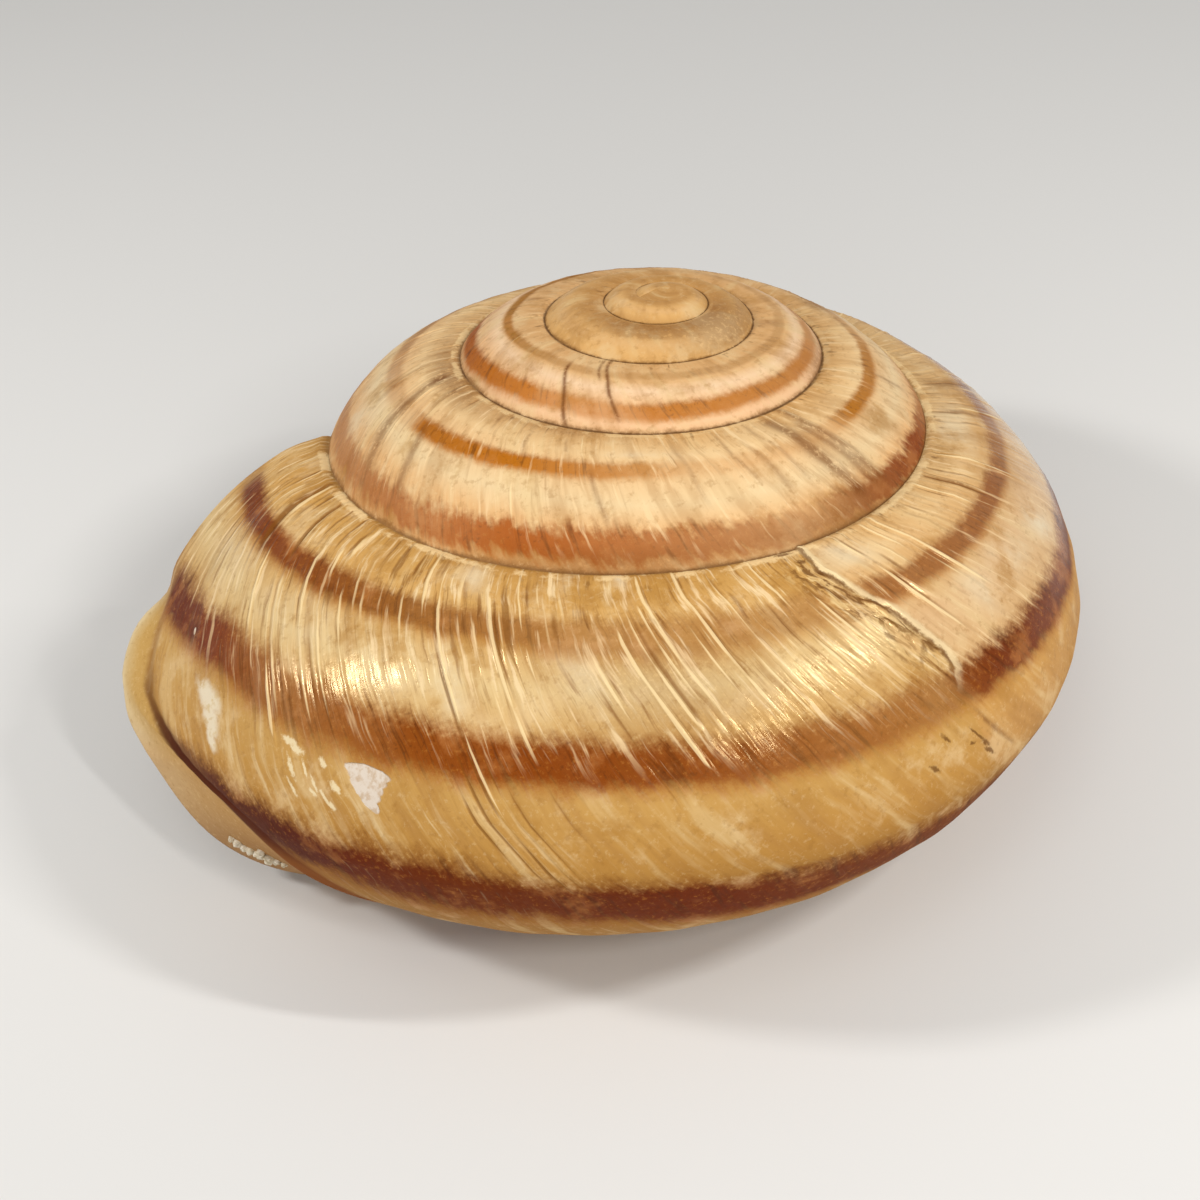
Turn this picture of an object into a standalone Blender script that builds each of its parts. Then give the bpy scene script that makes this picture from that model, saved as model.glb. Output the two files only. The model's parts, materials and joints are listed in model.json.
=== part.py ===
"""Shell of a land snail: one hollow, right-handed spiral tube, lying at rest on its base.

Metres, +Z up, apex upwards, origin under the middle of the shell at the height of its lowest point.

A place on the shell has two coordinates. The whorl counts turns of growth from the apex. The angle
goes round the opening, in degrees: 90 is the top of a whorl, 0 its outer edge, -90 its base, and
180 the side that faces the axis that it coils around.
"""
import math

import bmesh
import bpy
import numpy as np
from mathutils import Matrix, Vector

MM = 0.001

# How the tube grows
LIP_WHORL = 5.1             # whorls from the apex to the lip
BODY_RADIUS = 19.0 * MM     # axis to outer edge at whorl 5
GROWTH_RATE = 0.366         # natural logarithm of the growth per whorl
GROWTH_START = -0.009       # whorl at which the tube would have no size
GROWTH_EASE = 0.017         # early whorls are this much wider than even growth makes them
COIL_FACING = 212.0         # degrees: where whorl 5 lies around the axis, from +X towards +Y
SPIRE_FALL = (0.416, 0.126, 0.074)      # linear, square and cubic fall of the tube, per body radius

# The tube's section, in parts of the radius
HALF_WIDTH = 0.409
RISE = 0.296                # height above the section's middle
DROP = 0.415                # depth below it
UPPER_ROUND = 1.18          # above 1 the upper side is more pointed than an ellipse
LOWER_ROUND = 0.878         # below 1 the base is fuller than an ellipse
SECTION_TILT = 18.4         # degrees that the outer edge leans down

# The last part of the body whorl and the lip
LAST_FROM = 4.55            # whorl where the body whorl starts to change towards the lip
LAST_LENGTH = 0.55
LAST_WIDER = 0.04
LAST_OUTWARD = 0.025
LAST_UP = 0.008
LAST_FLATTER = 0.05         # how much lower the upper side is at the lip
LIP_TILT = 6.1              # degrees more than the section's own tilt, at the lip
NEAR_LIP_FROM = 4.75
NEAR_LIP_LENGTH = 0.35
LAG = (0.074, 0.101, -0.031)            # turns that a growth line falls behind, per half turn of angle
SUTURE_LAG = 0.045          # turns that a growth line has fallen behind where the next whorl covers it
FLARE = 0.158               # how much wider the lip opens, in parts of the section
FLARE_LENGTH = 0.018        # turns over which it opens
FLARE_TOP = 54.0            # degrees: no flare above this
FLARE_FULL = 8.0            # the widest flare is here, at the outer edge
FLARE_BASE = 0.22           # share of it that is left under the base
FLARE_BASE_FROM = -15.0
FLARE_BASE_TO = -75.0
FLARE_END = -150.0          # no flare from here on, beside the axis
FLARE_FADE = 50.0

# The wall
WALL = 0.62 * MM            # at the body whorl; it thins with the radius towards the apex
LIP_THICKER = 0.5
LIP_THICKER_LENGTH = 0.03
CAVITY_FROM = 2.05          # whorl where the hollow starts; before it the tip is solid
FIRST_TOUCH = 2.0           # before this whorl the tube is too small to meet the whorl before it
FIRST_WHORL = 0.08

# Facets
COLUMNS = 34                # in one period, which is a turn less the lag at the suture
LIP_COLUMNS = (0.004, 0.012)            # extra columns near the lip, in periods before it
EXPOSED_ROWS = 6            # between one suture and the next
COVERED_ROWS = 5            # the part of a whorl that the next one covers
UMBILICUS_ROWS = 3
FADE_TURNS = 0.25           # turns past the lip's foot over which the columns even out
SUTURE_SCAN = (20, 178)     # degrees searched for the seam above a whorl
BASE_SCAN = (-60, -230)     # and for the one beside its base

# How it lies at rest
REST_TURNS = ((-11.3, "X"), (5.9, "Y"))  # degrees, in this order

SHELL_COLOUR = (0.52, 0.33, 0.16, 1.0)


def smooth(part):
    part = np.clip(part, 0.0, 1.0)
    return part * part * (3 - 2 * part)


def mix(first, second, part):
    return first + (second - first) * part


def near_lip(whorl):
    return smooth((whorl - NEAR_LIP_FROM) / NEAR_LIP_LENGTH)


def tube_size(whorl):
    """Radius to the outer edge, half width, rise, drop and middle height of the tube's section."""
    grown = np.exp(GROWTH_RATE * (whorl - GROWTH_START)) - 1
    full = math.exp(GROWTH_RATE * (5 - GROWTH_START)) - 1
    radius = BODY_RADIUS * np.maximum(grown / full, 0.002) * np.exp(GROWTH_EASE * (whorl - 5) ** 2)
    last = smooth((whorl - LAST_FROM) / LAST_LENGTH)
    half_width = HALF_WIDTH * radius * (1 + LAST_WIDER * last)
    size = radius / BODY_RADIUS
    fall = sum(part * size ** power for power, part in enumerate(SPIRE_FALL, 1))
    height = BODY_RADIUS * (LAST_UP * last - fall)
    rise = RISE * radius * (1 - LAST_FLATTER * near_lip(whorl))
    return radius * (1 + LAST_OUTWARD * last), half_width, rise, DROP * radius, height


def signed_power(value, power):
    return np.sign(value) * np.maximum(np.abs(value), 1e-12) ** power


def section_tilt(whorl):
    return np.radians(SECTION_TILT + LIP_TILT * near_lip(whorl))


def section(whorl, angle, wall=0.0, flare=0.0):
    """Distance from the axis and height of the tube's outer curve, or of its inner one with a wall."""
    radius, half_width, rise, drop, height = tube_size(whorl)
    turn = np.radians(angle)
    across = np.cos(turn)
    upward = np.sin(turn)
    power = np.where(upward >= 0, UPPER_ROUND, LOWER_ROUND)
    tall = np.where(upward >= 0, rise, drop)
    across = (half_width - wall) * signed_power(across, power)
    upward = (tall - wall) * signed_power(upward, power)
    tilt = section_tilt(whorl)
    out = (across * np.cos(tilt) + upward * np.sin(tilt)) * (1 + flare)
    up = (upward * np.cos(tilt) - across * np.sin(tilt)) * (1 + flare)
    return radius - half_width + out, height + up


def section_place(whorl, distance, height):
    """Angle at which a point lies on the outer curve, and how far out it is: below 1 is inside."""
    radius, half_width, rise, drop, middle = tube_size(whorl)
    out = distance - (radius - half_width)
    up = height - middle
    tilt = section_tilt(whorl)
    across = out * np.cos(tilt) - up * np.sin(tilt)
    upward = out * np.sin(tilt) + up * np.cos(tilt)
    power = np.where(upward >= 0, UPPER_ROUND, LOWER_ROUND)
    tall = np.where(upward >= 0, rise, drop)
    across = signed_power(across / half_width, 1 / power)
    upward = signed_power(upward / tall, 1 / power)
    return np.degrees(np.arctan2(upward, across)), np.hypot(across, upward)


def lag(suture_angle, angle):
    """Turns that a growth line has fallen behind at an angle, from none at the suture."""
    part = np.maximum(suture_angle - angle, 0.0) / 180
    return sum(rate * part ** power for power, rate in enumerate(LAG, 1))


def lip_flare(column, angle):
    """How much the tube widens where a growth line is near the lip."""
    near = np.exp(-np.maximum(LIP_WHORL - column, 0.0) / FLARE_LENGTH)
    low = smooth((FLARE_TOP - angle) / (FLARE_TOP - FLARE_FULL))
    under = mix(1.0, FLARE_BASE, smooth((FLARE_BASE_FROM - angle) / (FLARE_BASE_FROM - FLARE_BASE_TO)))
    return FLARE * near * low * under * smooth((angle - FLARE_END) / FLARE_FADE)


def wall_at(column):
    radius = tube_size(column)[0]
    thicker = LIP_THICKER * np.exp((column - LIP_WHORL) / LIP_THICKER_LENGTH)
    return WALL * radius / BODY_RADIUS * (1 + thicker)


def column_whorls():
    """Growth line positions from the apex to the lip, the same in every period."""
    even = [step / COLUMNS for step in range(COLUMNS)]
    parts = sorted(even + list(LIP_COLUMNS))
    period = 1 - SUTURE_LAG
    whorls = []
    turn = 0
    while LIP_WHORL - period * turn > FIRST_WHORL:
        whorls += [LIP_WHORL - period * (turn + part) for part in parts]
        turn += 1
    whorls = [whorl for whorl in whorls if whorl > FIRST_WHORL]
    return np.array(whorls[::-1]), len(parts)


def touching(columns, sutures, rates, start, end, inner):
    """Where each growth line, followed from one angle to the other, meets the whorl before it.

    Returns its angle there, its whorl, and the angle on the whorl before it.
    """
    wall = wall_at(columns) if inner else 0.0

    def place(angle):
        whorl = columns - rates * lag(sutures, angle)
        distance, height = section(whorl, angle, wall, lip_flare(columns, angle))
        on, out = section_place(whorl - 1, distance, height)
        return whorl, on, out

    near = np.full(len(columns), float(start))
    far = np.full(len(columns), float(end))
    found = np.zeros(len(columns), bool)
    for angle in np.linspace(start, end, 120)[1:]:
        inside = place(np.full(len(columns), angle))[2] < 1
        far = np.where(inside & ~found, angle, far)
        found |= inside
        near = np.where(found, near, angle)
    for _ in range(40):
        middle = (near + far) / 2
        inside = place(middle)[2] < 1
        far = np.where(inside, middle, far)
        near = np.where(inside, near, middle)
    whorl, on, _ = place(near)
    return near, whorl, on


def spin(whorl, distance, height):
    """Point in space of a place on a section; the tube grows clockwise as seen from the apex."""
    around = np.radians(COIL_FACING) - 2 * math.pi * (whorl - 5)
    return np.stack([distance * np.cos(around), distance * np.sin(around), height + 0 * around], -1)


class Sheet:
    """Gathers points and faces, so that neighbouring strips share the points along their seams."""

    def __init__(self):
        self.points = []
        self.faces = []

    def add(self, points):
        first = len(self.points)
        self.points += [Vector(point) for point in points]
        return list(range(first, len(self.points)))

    def strip(self, left, right, inward=False):
        """Faces between two columns of points, from the suture side down."""
        for row in range(len(left) - 1):
            face = [left[row], right[row], right[row + 1], left[row + 1]]
            self.faces.append(face[::-1] if inward else face)

    def fan(self, rim, middle):
        for first, second in zip(rim, rim[1:]):
            self.faces.append([first, second, middle])


class Growth:
    """Where every growth line starts, ends and meets the whorl before it."""

    def __init__(self):
        self.lines, self.period = column_whorls()
        self.last = len(self.lines) - 1
        self.opened = self.last - self.period       # from here on no whorl covers this one
        still = np.zeros(len(self.lines))
        self.top, _, self.top_on = self.meet(np.full(len(self.lines), 180.0), still, SUTURE_SCAN)
        covered = self.top_on[np.minimum(np.arange(len(self.lines)) + self.period, self.last)]
        self.rate = SUTURE_LAG / lag(self.top, covered)
        late = smooth((self.lines - self.lines[self.opened]) / FADE_TURNS)
        self.rate = np.where(late > 0, mix(self.rate[self.opened], 1.0, late), self.rate)
        self.base, self.base_whorl, self.base_on = self.meet(self.top, self.rate, BASE_SCAN)
        self.inner_top, self.inner_top_whorl, self.inner_top_on = self.meet(
            self.top, self.rate, SUTURE_SCAN, inner=True)
        self.inner_base, self.inner_base_whorl, self.inner_base_on = self.meet(
            self.top, self.rate, BASE_SCAN, inner=True)
        self.base_whorl = self.whorl(np.arange(len(self.lines)), self.base)
        self.hollow = int(np.argmax(self.lines > CAVITY_FROM))

    def meet(self, tops, rates, scan, inner=False):
        """As touching(), with the first whorls, too small to touch, set to what follows them."""
        found = touching(self.lines, tops, rates, *scan, inner)
        first = int(np.argmax(self.lines > FIRST_TOUCH))
        early = self.lines <= FIRST_TOUCH
        angle, whorl, on = (np.where(early, values[first], values) for values in found)
        return angle, whorl, on

    def whorl(self, line, angle):
        """Whorl at which a growth line passes an angle."""
        return self.lines[line] - self.rate[line] * lag(self.top[line], angle)

    def outer(self, line, angle, whorl):
        """Points on the outside of the tube."""
        return spin(whorl, *section(whorl, angle, 0.0, lip_flare(whorl + lag(self.top[line], angle), angle)))

    def inside(self, line, angle, whorl):
        """Points on the wall of the hollow."""
        flare = lip_flare(whorl + lag(self.top[line], angle), angle)
        return spin(whorl, *section(whorl, angle, wall_at(self.lines[line]), flare))


def leaning(points, start, end):
    """Shifts a row of points so that its ends come to lie on two given points."""
    part = np.linspace(0, 1, len(points))[:, None]
    return points + (1 - part) * (start - points[0]) + part * (end - points[-1])


def open_profile(growth, line):
    """Angles and whorls from suture to base down a growth line that nothing covers."""
    last = growth.last
    angles = np.concatenate([
        np.linspace(growth.top[line], growth.top_on[last], EXPOSED_ROWS + 1),
        np.linspace(growth.inner_top_on[last], growth.inner_base_on[last], COVERED_ROWS + 1),
        np.linspace(growth.base_on[last], growth.base[line], UMBILICUS_ROWS + 1)])
    whorls = growth.whorl(line, angles)
    held = growth.opened
    shifts = [
        growth.inner_top_whorl[last] - 1 - growth.whorl(held, growth.inner_top_on[last]),
        growth.inner_base_whorl[last] - 1 - growth.whorl(held, growth.inner_base_on[last]),
        growth.base_whorl[last] - 1 - growth.whorl(held, growth.base_on[last])]
    shift = np.concatenate([
        np.zeros(EXPOSED_ROWS + 1),
        np.linspace(shifts[0], shifts[1], COVERED_ROWS + 1),
        np.linspace(shifts[2], 0, UMBILICUS_ROWS + 1)])
    fade = 1 - smooth((growth.lines[line] - growth.lines[held]) / FADE_TURNS)
    return angles, whorls + fade * shift


def build_shell():
    """Points and faces of the whole shell."""
    growth = Growth()
    sheet = Sheet()
    last = growth.last
    period = growth.period
    count = last + 1
    tops = growth.outer(np.arange(count), growth.top, growth.lines)
    bases = growth.outer(np.arange(count), growth.base, growth.base_whorl)
    top = sheet.add(tops)
    base = sheet.add(bases)

    # The hollow's own wall, from one seam with the whorl before it to the other
    profile = open_profile(growth, last)[0]
    share = (profile - profile[0]) / (profile[-1] - profile[0])
    hollow = {}
    for line in range(growth.hollow, count):
        angles = mix(growth.inner_top[line], growth.inner_base[line], share)
        hollow[line] = sheet.add(growth.inside(line, angles, growth.whorl(line, angles)))

    # The outside, between one suture and the next, and the whole way down where nothing covers it
    outside = {}
    for line in range(count):
        if line <= growth.opened:
            following = line + period
            angles = np.linspace(growth.top[line], growth.top_on[following], EXPOSED_ROWS + 1)
            points = growth.outer(line, angles, growth.whorl(line, angles))
            points = leaning(points, tops[line], tops[following])
            outside[line] = [top[line]] + sheet.add(points[1:-1]) + [top[following]]
        else:
            angles, whorls = open_profile(growth, line)
            points = growth.outer(line, angles, whorls)
            outside[line] = [top[line]] + sheet.add(points[1:-1]) + [base[line]]

    # The part of each whorl that is the next whorl's inner wall
    covered = {}
    for line in range(growth.hollow - period, growth.opened + 1):
        following = line + period
        angles = np.linspace(growth.inner_top_on[following], growth.inner_base_on[following], COVERED_ROWS + 1)
        whorls = np.linspace(growth.inner_top_whorl[following], growth.inner_base_whorl[following],
                             COVERED_ROWS + 1) - 1
        points = growth.outer(line, angles, whorls)
        covered[line] = [hollow[following][0]] + sheet.add(points[1:-1]) + [hollow[following][-1]]

    # The funnel round the axis, under the base
    funnel = {}
    for line in range(growth.opened + 1):
        following = line + period
        angles = np.linspace(growth.base_on[following], growth.base[line], UMBILICUS_ROWS + 1)
        whorls = np.linspace(growth.base_whorl[following] - 1, growth.base_whorl[line], UMBILICUS_ROWS + 1)
        points = leaning(growth.outer(line, angles, whorls), bases[following], bases[line])
        funnel[line] = [base[following]] + sheet.add(points[1:-1]) + [base[line]]

    # Where the lip ends on the body whorl, the parts join in one profile
    held = growth.opened
    joined = outside[held] + covered[held] + funnel[held]
    for line in range(growth.opened):
        sheet.strip(outside[line], outside[line + 1])
        sheet.strip(funnel[line], funnel[line + 1])
    sheet.strip(joined, outside[held + 1])
    for line in range(held + 1, last):
        sheet.strip(outside[line], outside[line + 1])
    for line in range(growth.hollow - period, held):
        sheet.strip(covered[line], covered[line + 1])
    for line in range(growth.hollow, last):
        sheet.strip(hollow[line], hollow[line + 1], inward=True)

    # The lip's edge, the hollow's blind end, the apex and the top of the funnel
    sheet.strip(outside[last], hollow[last])
    blind = covered[growth.hollow - period] + hollow[growth.hollow][-2:0:-1]
    ring = [sheet.points[index] for index in blind]
    middle = sheet.add([sum(ring, Vector()) / len(ring)])[0]
    sheet.fan(blind + blind[:1], middle)
    for rim, first, sign in ((top, outside[0], 1), (base, funnel[0][::-1], -1)):
        height = max(sign * sheet.points[index].z for index in rim[:period + 1]) * sign
        middle = sheet.add([(0, 0, height)])[0]
        edge = first[:-1] + [rim[period]]
        start = len(sheet.faces)
        sheet.fan(rim[period - 1::-1], middle)
        sheet.faces.append([rim[0], rim[period - 1], middle])
        sheet.fan(edge, rim[period - 1])
        if sign < 0:
            sheet.faces[start:] = [face[::-1] for face in sheet.faces[start:]]
    return sheet


def lie_down(points):
    """Turns the shell the way it rests and puts the origin under its middle."""
    turn = Matrix.Identity(3)
    for degrees, axis in REST_TURNS:
        turn = Matrix.Rotation(math.radians(degrees), 3, axis) @ turn
    turned = np.array([turn @ point for point in points])
    low = turned.min(axis=0)
    high = turned.max(axis=0)
    return turned - np.array([(low[0] + high[0]) / 2, (low[1] + high[1]) / 2, low[2]])


def shell_material():
    material = bpy.data.materials.new("aged shell")
    material.use_nodes = True
    shader = material.node_tree.nodes["Principled BSDF"]
    shader.inputs["Base Color"].default_value = SHELL_COLOUR
    shader.inputs["Roughness"].default_value = 0.4
    shader.inputs["Metallic"].default_value = 0.0
    return material


def make_shell():
    sheet = build_shell()
    mesh = bpy.data.meshes.new("shell")
    mesh.from_pydata(lie_down(sheet.points).tolist(), [], sheet.faces)
    work = bmesh.new()
    work.from_mesh(mesh)
    bmesh.ops.triangulate(work, faces=work.faces[:])
    work.to_mesh(mesh)
    work.free()
    mesh.shade_smooth()
    shell = bpy.data.objects.new("shell", mesh)
    shell.data.materials.append(shell_material())
    bpy.context.scene.collection.objects.link(shell)
    return shell


for old in list(bpy.data.objects):
    bpy.data.objects.remove(old, do_unlink=True)
make_shell()
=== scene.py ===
"""Looks of a land snail shell: its finished surface, its aged shell material, soft light and a camera."""
import json
import math

import bpy
import numpy as np
from mathutils import Matrix, Vector

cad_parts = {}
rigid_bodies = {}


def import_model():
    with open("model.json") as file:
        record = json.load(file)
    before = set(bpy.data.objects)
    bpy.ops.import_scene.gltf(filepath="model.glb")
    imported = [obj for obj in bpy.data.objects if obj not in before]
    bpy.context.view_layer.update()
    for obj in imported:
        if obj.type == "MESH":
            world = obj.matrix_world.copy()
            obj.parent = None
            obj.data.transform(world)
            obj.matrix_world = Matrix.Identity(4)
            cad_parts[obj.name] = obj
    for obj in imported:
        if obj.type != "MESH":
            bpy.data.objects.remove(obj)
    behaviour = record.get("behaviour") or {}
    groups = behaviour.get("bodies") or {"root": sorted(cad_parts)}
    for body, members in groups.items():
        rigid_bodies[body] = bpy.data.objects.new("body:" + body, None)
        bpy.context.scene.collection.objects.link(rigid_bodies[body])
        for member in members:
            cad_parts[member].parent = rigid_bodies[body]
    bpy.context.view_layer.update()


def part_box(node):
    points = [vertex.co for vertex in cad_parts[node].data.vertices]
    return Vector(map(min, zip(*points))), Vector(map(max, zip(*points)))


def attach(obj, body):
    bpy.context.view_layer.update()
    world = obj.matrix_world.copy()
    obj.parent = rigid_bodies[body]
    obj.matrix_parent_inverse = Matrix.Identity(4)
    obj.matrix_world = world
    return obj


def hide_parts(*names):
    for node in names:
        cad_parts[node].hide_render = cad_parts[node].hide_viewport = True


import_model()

MM = 0.001

# How the tube grows: the same law that the CAD shell follows.
# The whorl counts turns of growth from the apex, and the angle goes round the opening in degrees:
# 90 is the top of a whorl, 0 its outer edge, -90 its base, and 180 faces the axis.
LIP_WHORL = 5.1
BODY_RADIUS = 19.0 * MM
GROWTH_RATE = 0.366
GROWTH_START = -0.009
GROWTH_EASE = 0.017
COIL_FACING = 212.0
SPIRE_FALL = (0.416, 0.126, 0.074)
HALF_WIDTH = 0.409
RISE = 0.296
DROP = 0.415
UPPER_ROUND = 1.18
LOWER_ROUND = 0.878
SECTION_TILT = 18.4
LAST_FROM = 4.55
LAST_LENGTH = 0.55
LAST_WIDER = 0.04
LAST_OUTWARD = 0.025
LAST_UP = 0.008
LAST_FLATTER = 0.05
LIP_TILT = 6.1
NEAR_LIP_FROM = 4.75
NEAR_LIP_LENGTH = 0.35
LAG = (0.074, 0.101, -0.031)
SUTURE_LAG = 0.045
FLARE = 0.158
FLARE_LENGTH = 0.018
FLARE_TOP = 54.0
FLARE_FULL = 8.0
FLARE_BASE = 0.22
FLARE_BASE_FROM = -15.0
FLARE_BASE_TO = -75.0
FLARE_END = -150.0
FLARE_FADE = 50.0
WALL = 0.62 * MM
LIP_THICKER = 0.5
LIP_THICKER_LENGTH = 0.03
CAVITY_FROM = 2.05
FIRST_TOUCH = 2.0
FADE_TURNS = 0.25           # turns past the lip's foot in which the tube comes free of the whorl before it
SHARE_TURNS = 0.06          # in which its relief comes back
APART_TURNS = 0.04          # in which its upper edge leaves the suture
SUTURE_SCAN = (20, 178)
BASE_SCAN = (-60, -230)
REST_TURNS = ((-11.3, "X"), (5.9, "Y"))

# How finely the finished surface is drawn
PERIOD = 1 - SUTURE_LAG     # turns from a growth line to the one whose suture lies on it
COLUMNS = 1408              # growth lines in one period
LINES = 7392                # growth lines from the tip to the lip
HELD = LINES - COLUMNS      # the growth line that the lip's upper end rests on
COARSE = ((1.6, 8), (2.9, 4), (3.9, 2))       # up to this whorl, one growth line in so many
HOLLOW_COARSE = ((4.2, 32), (4.95, 16), (5.1, 4))
ALL_ALONG = 9.0             # a whorl beyond the last, so that one step goes for all
EXPOSED = (0, .012, .03, .06, .11, .17, .24, .31, .385, .46, .535, .61, .685, .76, .835, .905, .965, 1)
COVERED = (0, .03, .06, .09, .12, .15, .18, .215, .252, .294, .336, .378, .42, .475, .54, .61, .69, .77,
           .85, .93, 1)
COVERED_FINE = 4            # rows of it, on the outer side, that show every growth line
FUNNEL = (0, .2, .4, .6, .8, 1)
FUNNEL_PACES = (16, 4)      # one growth line in so many: under the whorls, and past the lip's foot
RIM_RINGS = 4
RIM_ROOM = 8                # growth lines left free where the lip's end sits on the whorl before it
LIP_FINE_FROM = LINES - 84  # growth lines from here to the lip are drawn with rows in between
LIP_FINE_ANGLES = (-40, 60)           # where the lip's outline shows most
LIP_FINE_STEPS = (2.5, 4.2)           # degrees between its rows, there and elsewhere


def smooth(part):
    part = np.clip(part, 0.0, 1.0)
    return part * part * (3 - 2 * part)


def mix(first, second, part):
    return first + (second - first) * part


def bell(value, middle, half_width):
    return np.exp(-((value - middle) / half_width) ** 2)


def near_lip(whorl):
    return smooth((whorl - NEAR_LIP_FROM) / NEAR_LIP_LENGTH)


def tube_size(whorl):
    """Radius to the outer edge, half width, rise, drop and middle height of the tube's section."""
    grown = np.exp(GROWTH_RATE * (whorl - GROWTH_START)) - 1
    full = math.exp(GROWTH_RATE * (5 - GROWTH_START)) - 1
    radius = BODY_RADIUS * np.maximum(grown / full, 0.002) * np.exp(GROWTH_EASE * (whorl - 5) ** 2)
    last = smooth((whorl - LAST_FROM) / LAST_LENGTH)
    half_width = HALF_WIDTH * radius * (1 + LAST_WIDER * last)
    size = radius / BODY_RADIUS
    fall = sum(part * size ** power for power, part in enumerate(SPIRE_FALL, 1))
    height = BODY_RADIUS * (LAST_UP * last - fall)
    rise = RISE * radius * (1 - LAST_FLATTER * near_lip(whorl))
    return radius * (1 + LAST_OUTWARD * last), half_width, rise, DROP * radius, height


def signed_power(value, power):
    return np.sign(value) * np.maximum(np.abs(value), 1e-12) ** power


def section_tilt(whorl):
    return np.radians(SECTION_TILT + LIP_TILT * near_lip(whorl))


def section(whorl, angle, wall=0.0, flare=0.0):
    """Distance from the axis and height of the tube's outer curve, or of its inner one with a wall."""
    radius, half_width, rise, drop, height = tube_size(whorl)
    turn = np.radians(angle)
    across = np.cos(turn)
    upward = np.sin(turn)
    power = np.where(upward >= 0, UPPER_ROUND, LOWER_ROUND)
    tall = np.where(upward >= 0, rise, drop)
    across = (half_width - wall) * signed_power(across, power)
    upward = (tall - wall) * signed_power(upward, power)
    tilt = section_tilt(whorl)
    out = (across * np.cos(tilt) + upward * np.sin(tilt)) * (1 + flare)
    up = (upward * np.cos(tilt) - across * np.sin(tilt)) * (1 + flare)
    return radius - half_width + out, height + up


def section_place(whorl, distance, height):
    """Angle at which a point lies on the outer curve, and how far out it is: below 1 is inside."""
    radius, half_width, rise, drop, middle = tube_size(whorl)
    out = distance - (radius - half_width)
    up = height - middle
    tilt = section_tilt(whorl)
    across = out * np.cos(tilt) - up * np.sin(tilt)
    upward = out * np.sin(tilt) + up * np.cos(tilt)
    power = np.where(upward >= 0, UPPER_ROUND, LOWER_ROUND)
    tall = np.where(upward >= 0, rise, drop)
    across = signed_power(across / half_width, 1 / power)
    upward = signed_power(upward / tall, 1 / power)
    return np.degrees(np.arctan2(upward, across)), np.hypot(across, upward)


def lag(suture_angle, angle):
    """Turns that a growth line has fallen behind at an angle, from none at the suture."""
    part = np.maximum(suture_angle - angle, 0.0) / 180
    return sum(rate * part ** power for power, rate in enumerate(LAG, 1))


def lip_flare(column, angle):
    """How much the tube widens where a growth line is near the lip."""
    near = np.exp(-np.maximum(LIP_WHORL - column, 0.0) / FLARE_LENGTH)
    low = smooth((FLARE_TOP - angle) / (FLARE_TOP - FLARE_FULL))
    under = mix(1.0, FLARE_BASE, smooth((FLARE_BASE_FROM - angle) / (FLARE_BASE_FROM - FLARE_BASE_TO)))
    return FLARE * near * low * under * smooth((angle - FLARE_END) / FLARE_FADE)


def wall_at(column):
    radius = tube_size(column)[0]
    thicker = LIP_THICKER * np.exp((column - LIP_WHORL) / LIP_THICKER_LENGTH)
    return WALL * radius / BODY_RADIUS * (1 + thicker)


def spin(whorl, distance, height):
    """Point in space of a place on a section; the tube grows clockwise as seen from the apex."""
    around = np.radians(COIL_FACING) - 2 * math.pi * (whorl - 5)
    return np.stack([distance * np.cos(around), distance * np.sin(around), height + 0 * around], -1)


# Where the three colour bands run: whorl and the angle of the band's middle there
UPPER_BAND = (
    (2.5, 97), (2.75, 100), (2.9, 98), (3.0, 97), (3.1, 90), (3.3, 87), (3.6, 84), (3.7, 82.5), (3.86, 82),
    (3.95, 78.5), (4.03, 75), (4.3, 74), (4.57, 73), (4.68, 75.5), (4.75, 75.5), (4.8, 78), (4.84, 77.5),
    (4.92, 80), (5.0, 80), (5.1, 79))
MIDDLE_BAND = (
    (2.5, 66), (2.8, 66), (2.9, 63), (3.0, 64), (3.1, 58), (3.3, 51), (3.6, 44), (3.7, 45.5), (3.85, 48.5),
    (3.92, 47.5), (4.0, 43.5), (4.1, 42.5), (4.4, 42), (4.68, 40), (4.75, 41.5), (4.84, 43), (4.88, 45),
    (4.92, 46.5), (4.96, 47), (5.0, 48.5), (5.04, 50), (5.07, 48), (5.1, 46))
LOWER_BAND = (
    (2.5, -14), (4.75, -14), (4.8, -12), (4.84, -12), (4.88, -9), (4.92, -4), (4.96, 1), (5.0, 2),
    (5.04, 3.5), (5.06, 12), (5.08, 17), (5.1, 20))
# Whorl and half the band's width there, in degrees
UPPER_SPREAD = (
    (2.5, 4.6), (3.1, 5), (3.6, 4.8), (4.0, 4.4), (4.3, 4), (4.6, 4), (4.75, 4.2), (4.84, 7), (4.92, 5),
    (5.0, 5), (5.1, 4.4))
MIDDLE_SPREAD = (
    (2.5, 6), (3.6, 6.5), (3.9, 6.8), (4.1, 6), (4.68, 6.8), (4.8, 6.5), (4.92, 6.8), (5.0, 8), (5.04, 6.4),
    (5.1, 6))
LOWER_SPREAD = (
    (2.5, 9), (4.84, 9.5), (4.92, 12), (4.96, 12), (5.04, 13.5), (5.06, 6), (5.08, 2), (5.1, 1))
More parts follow.
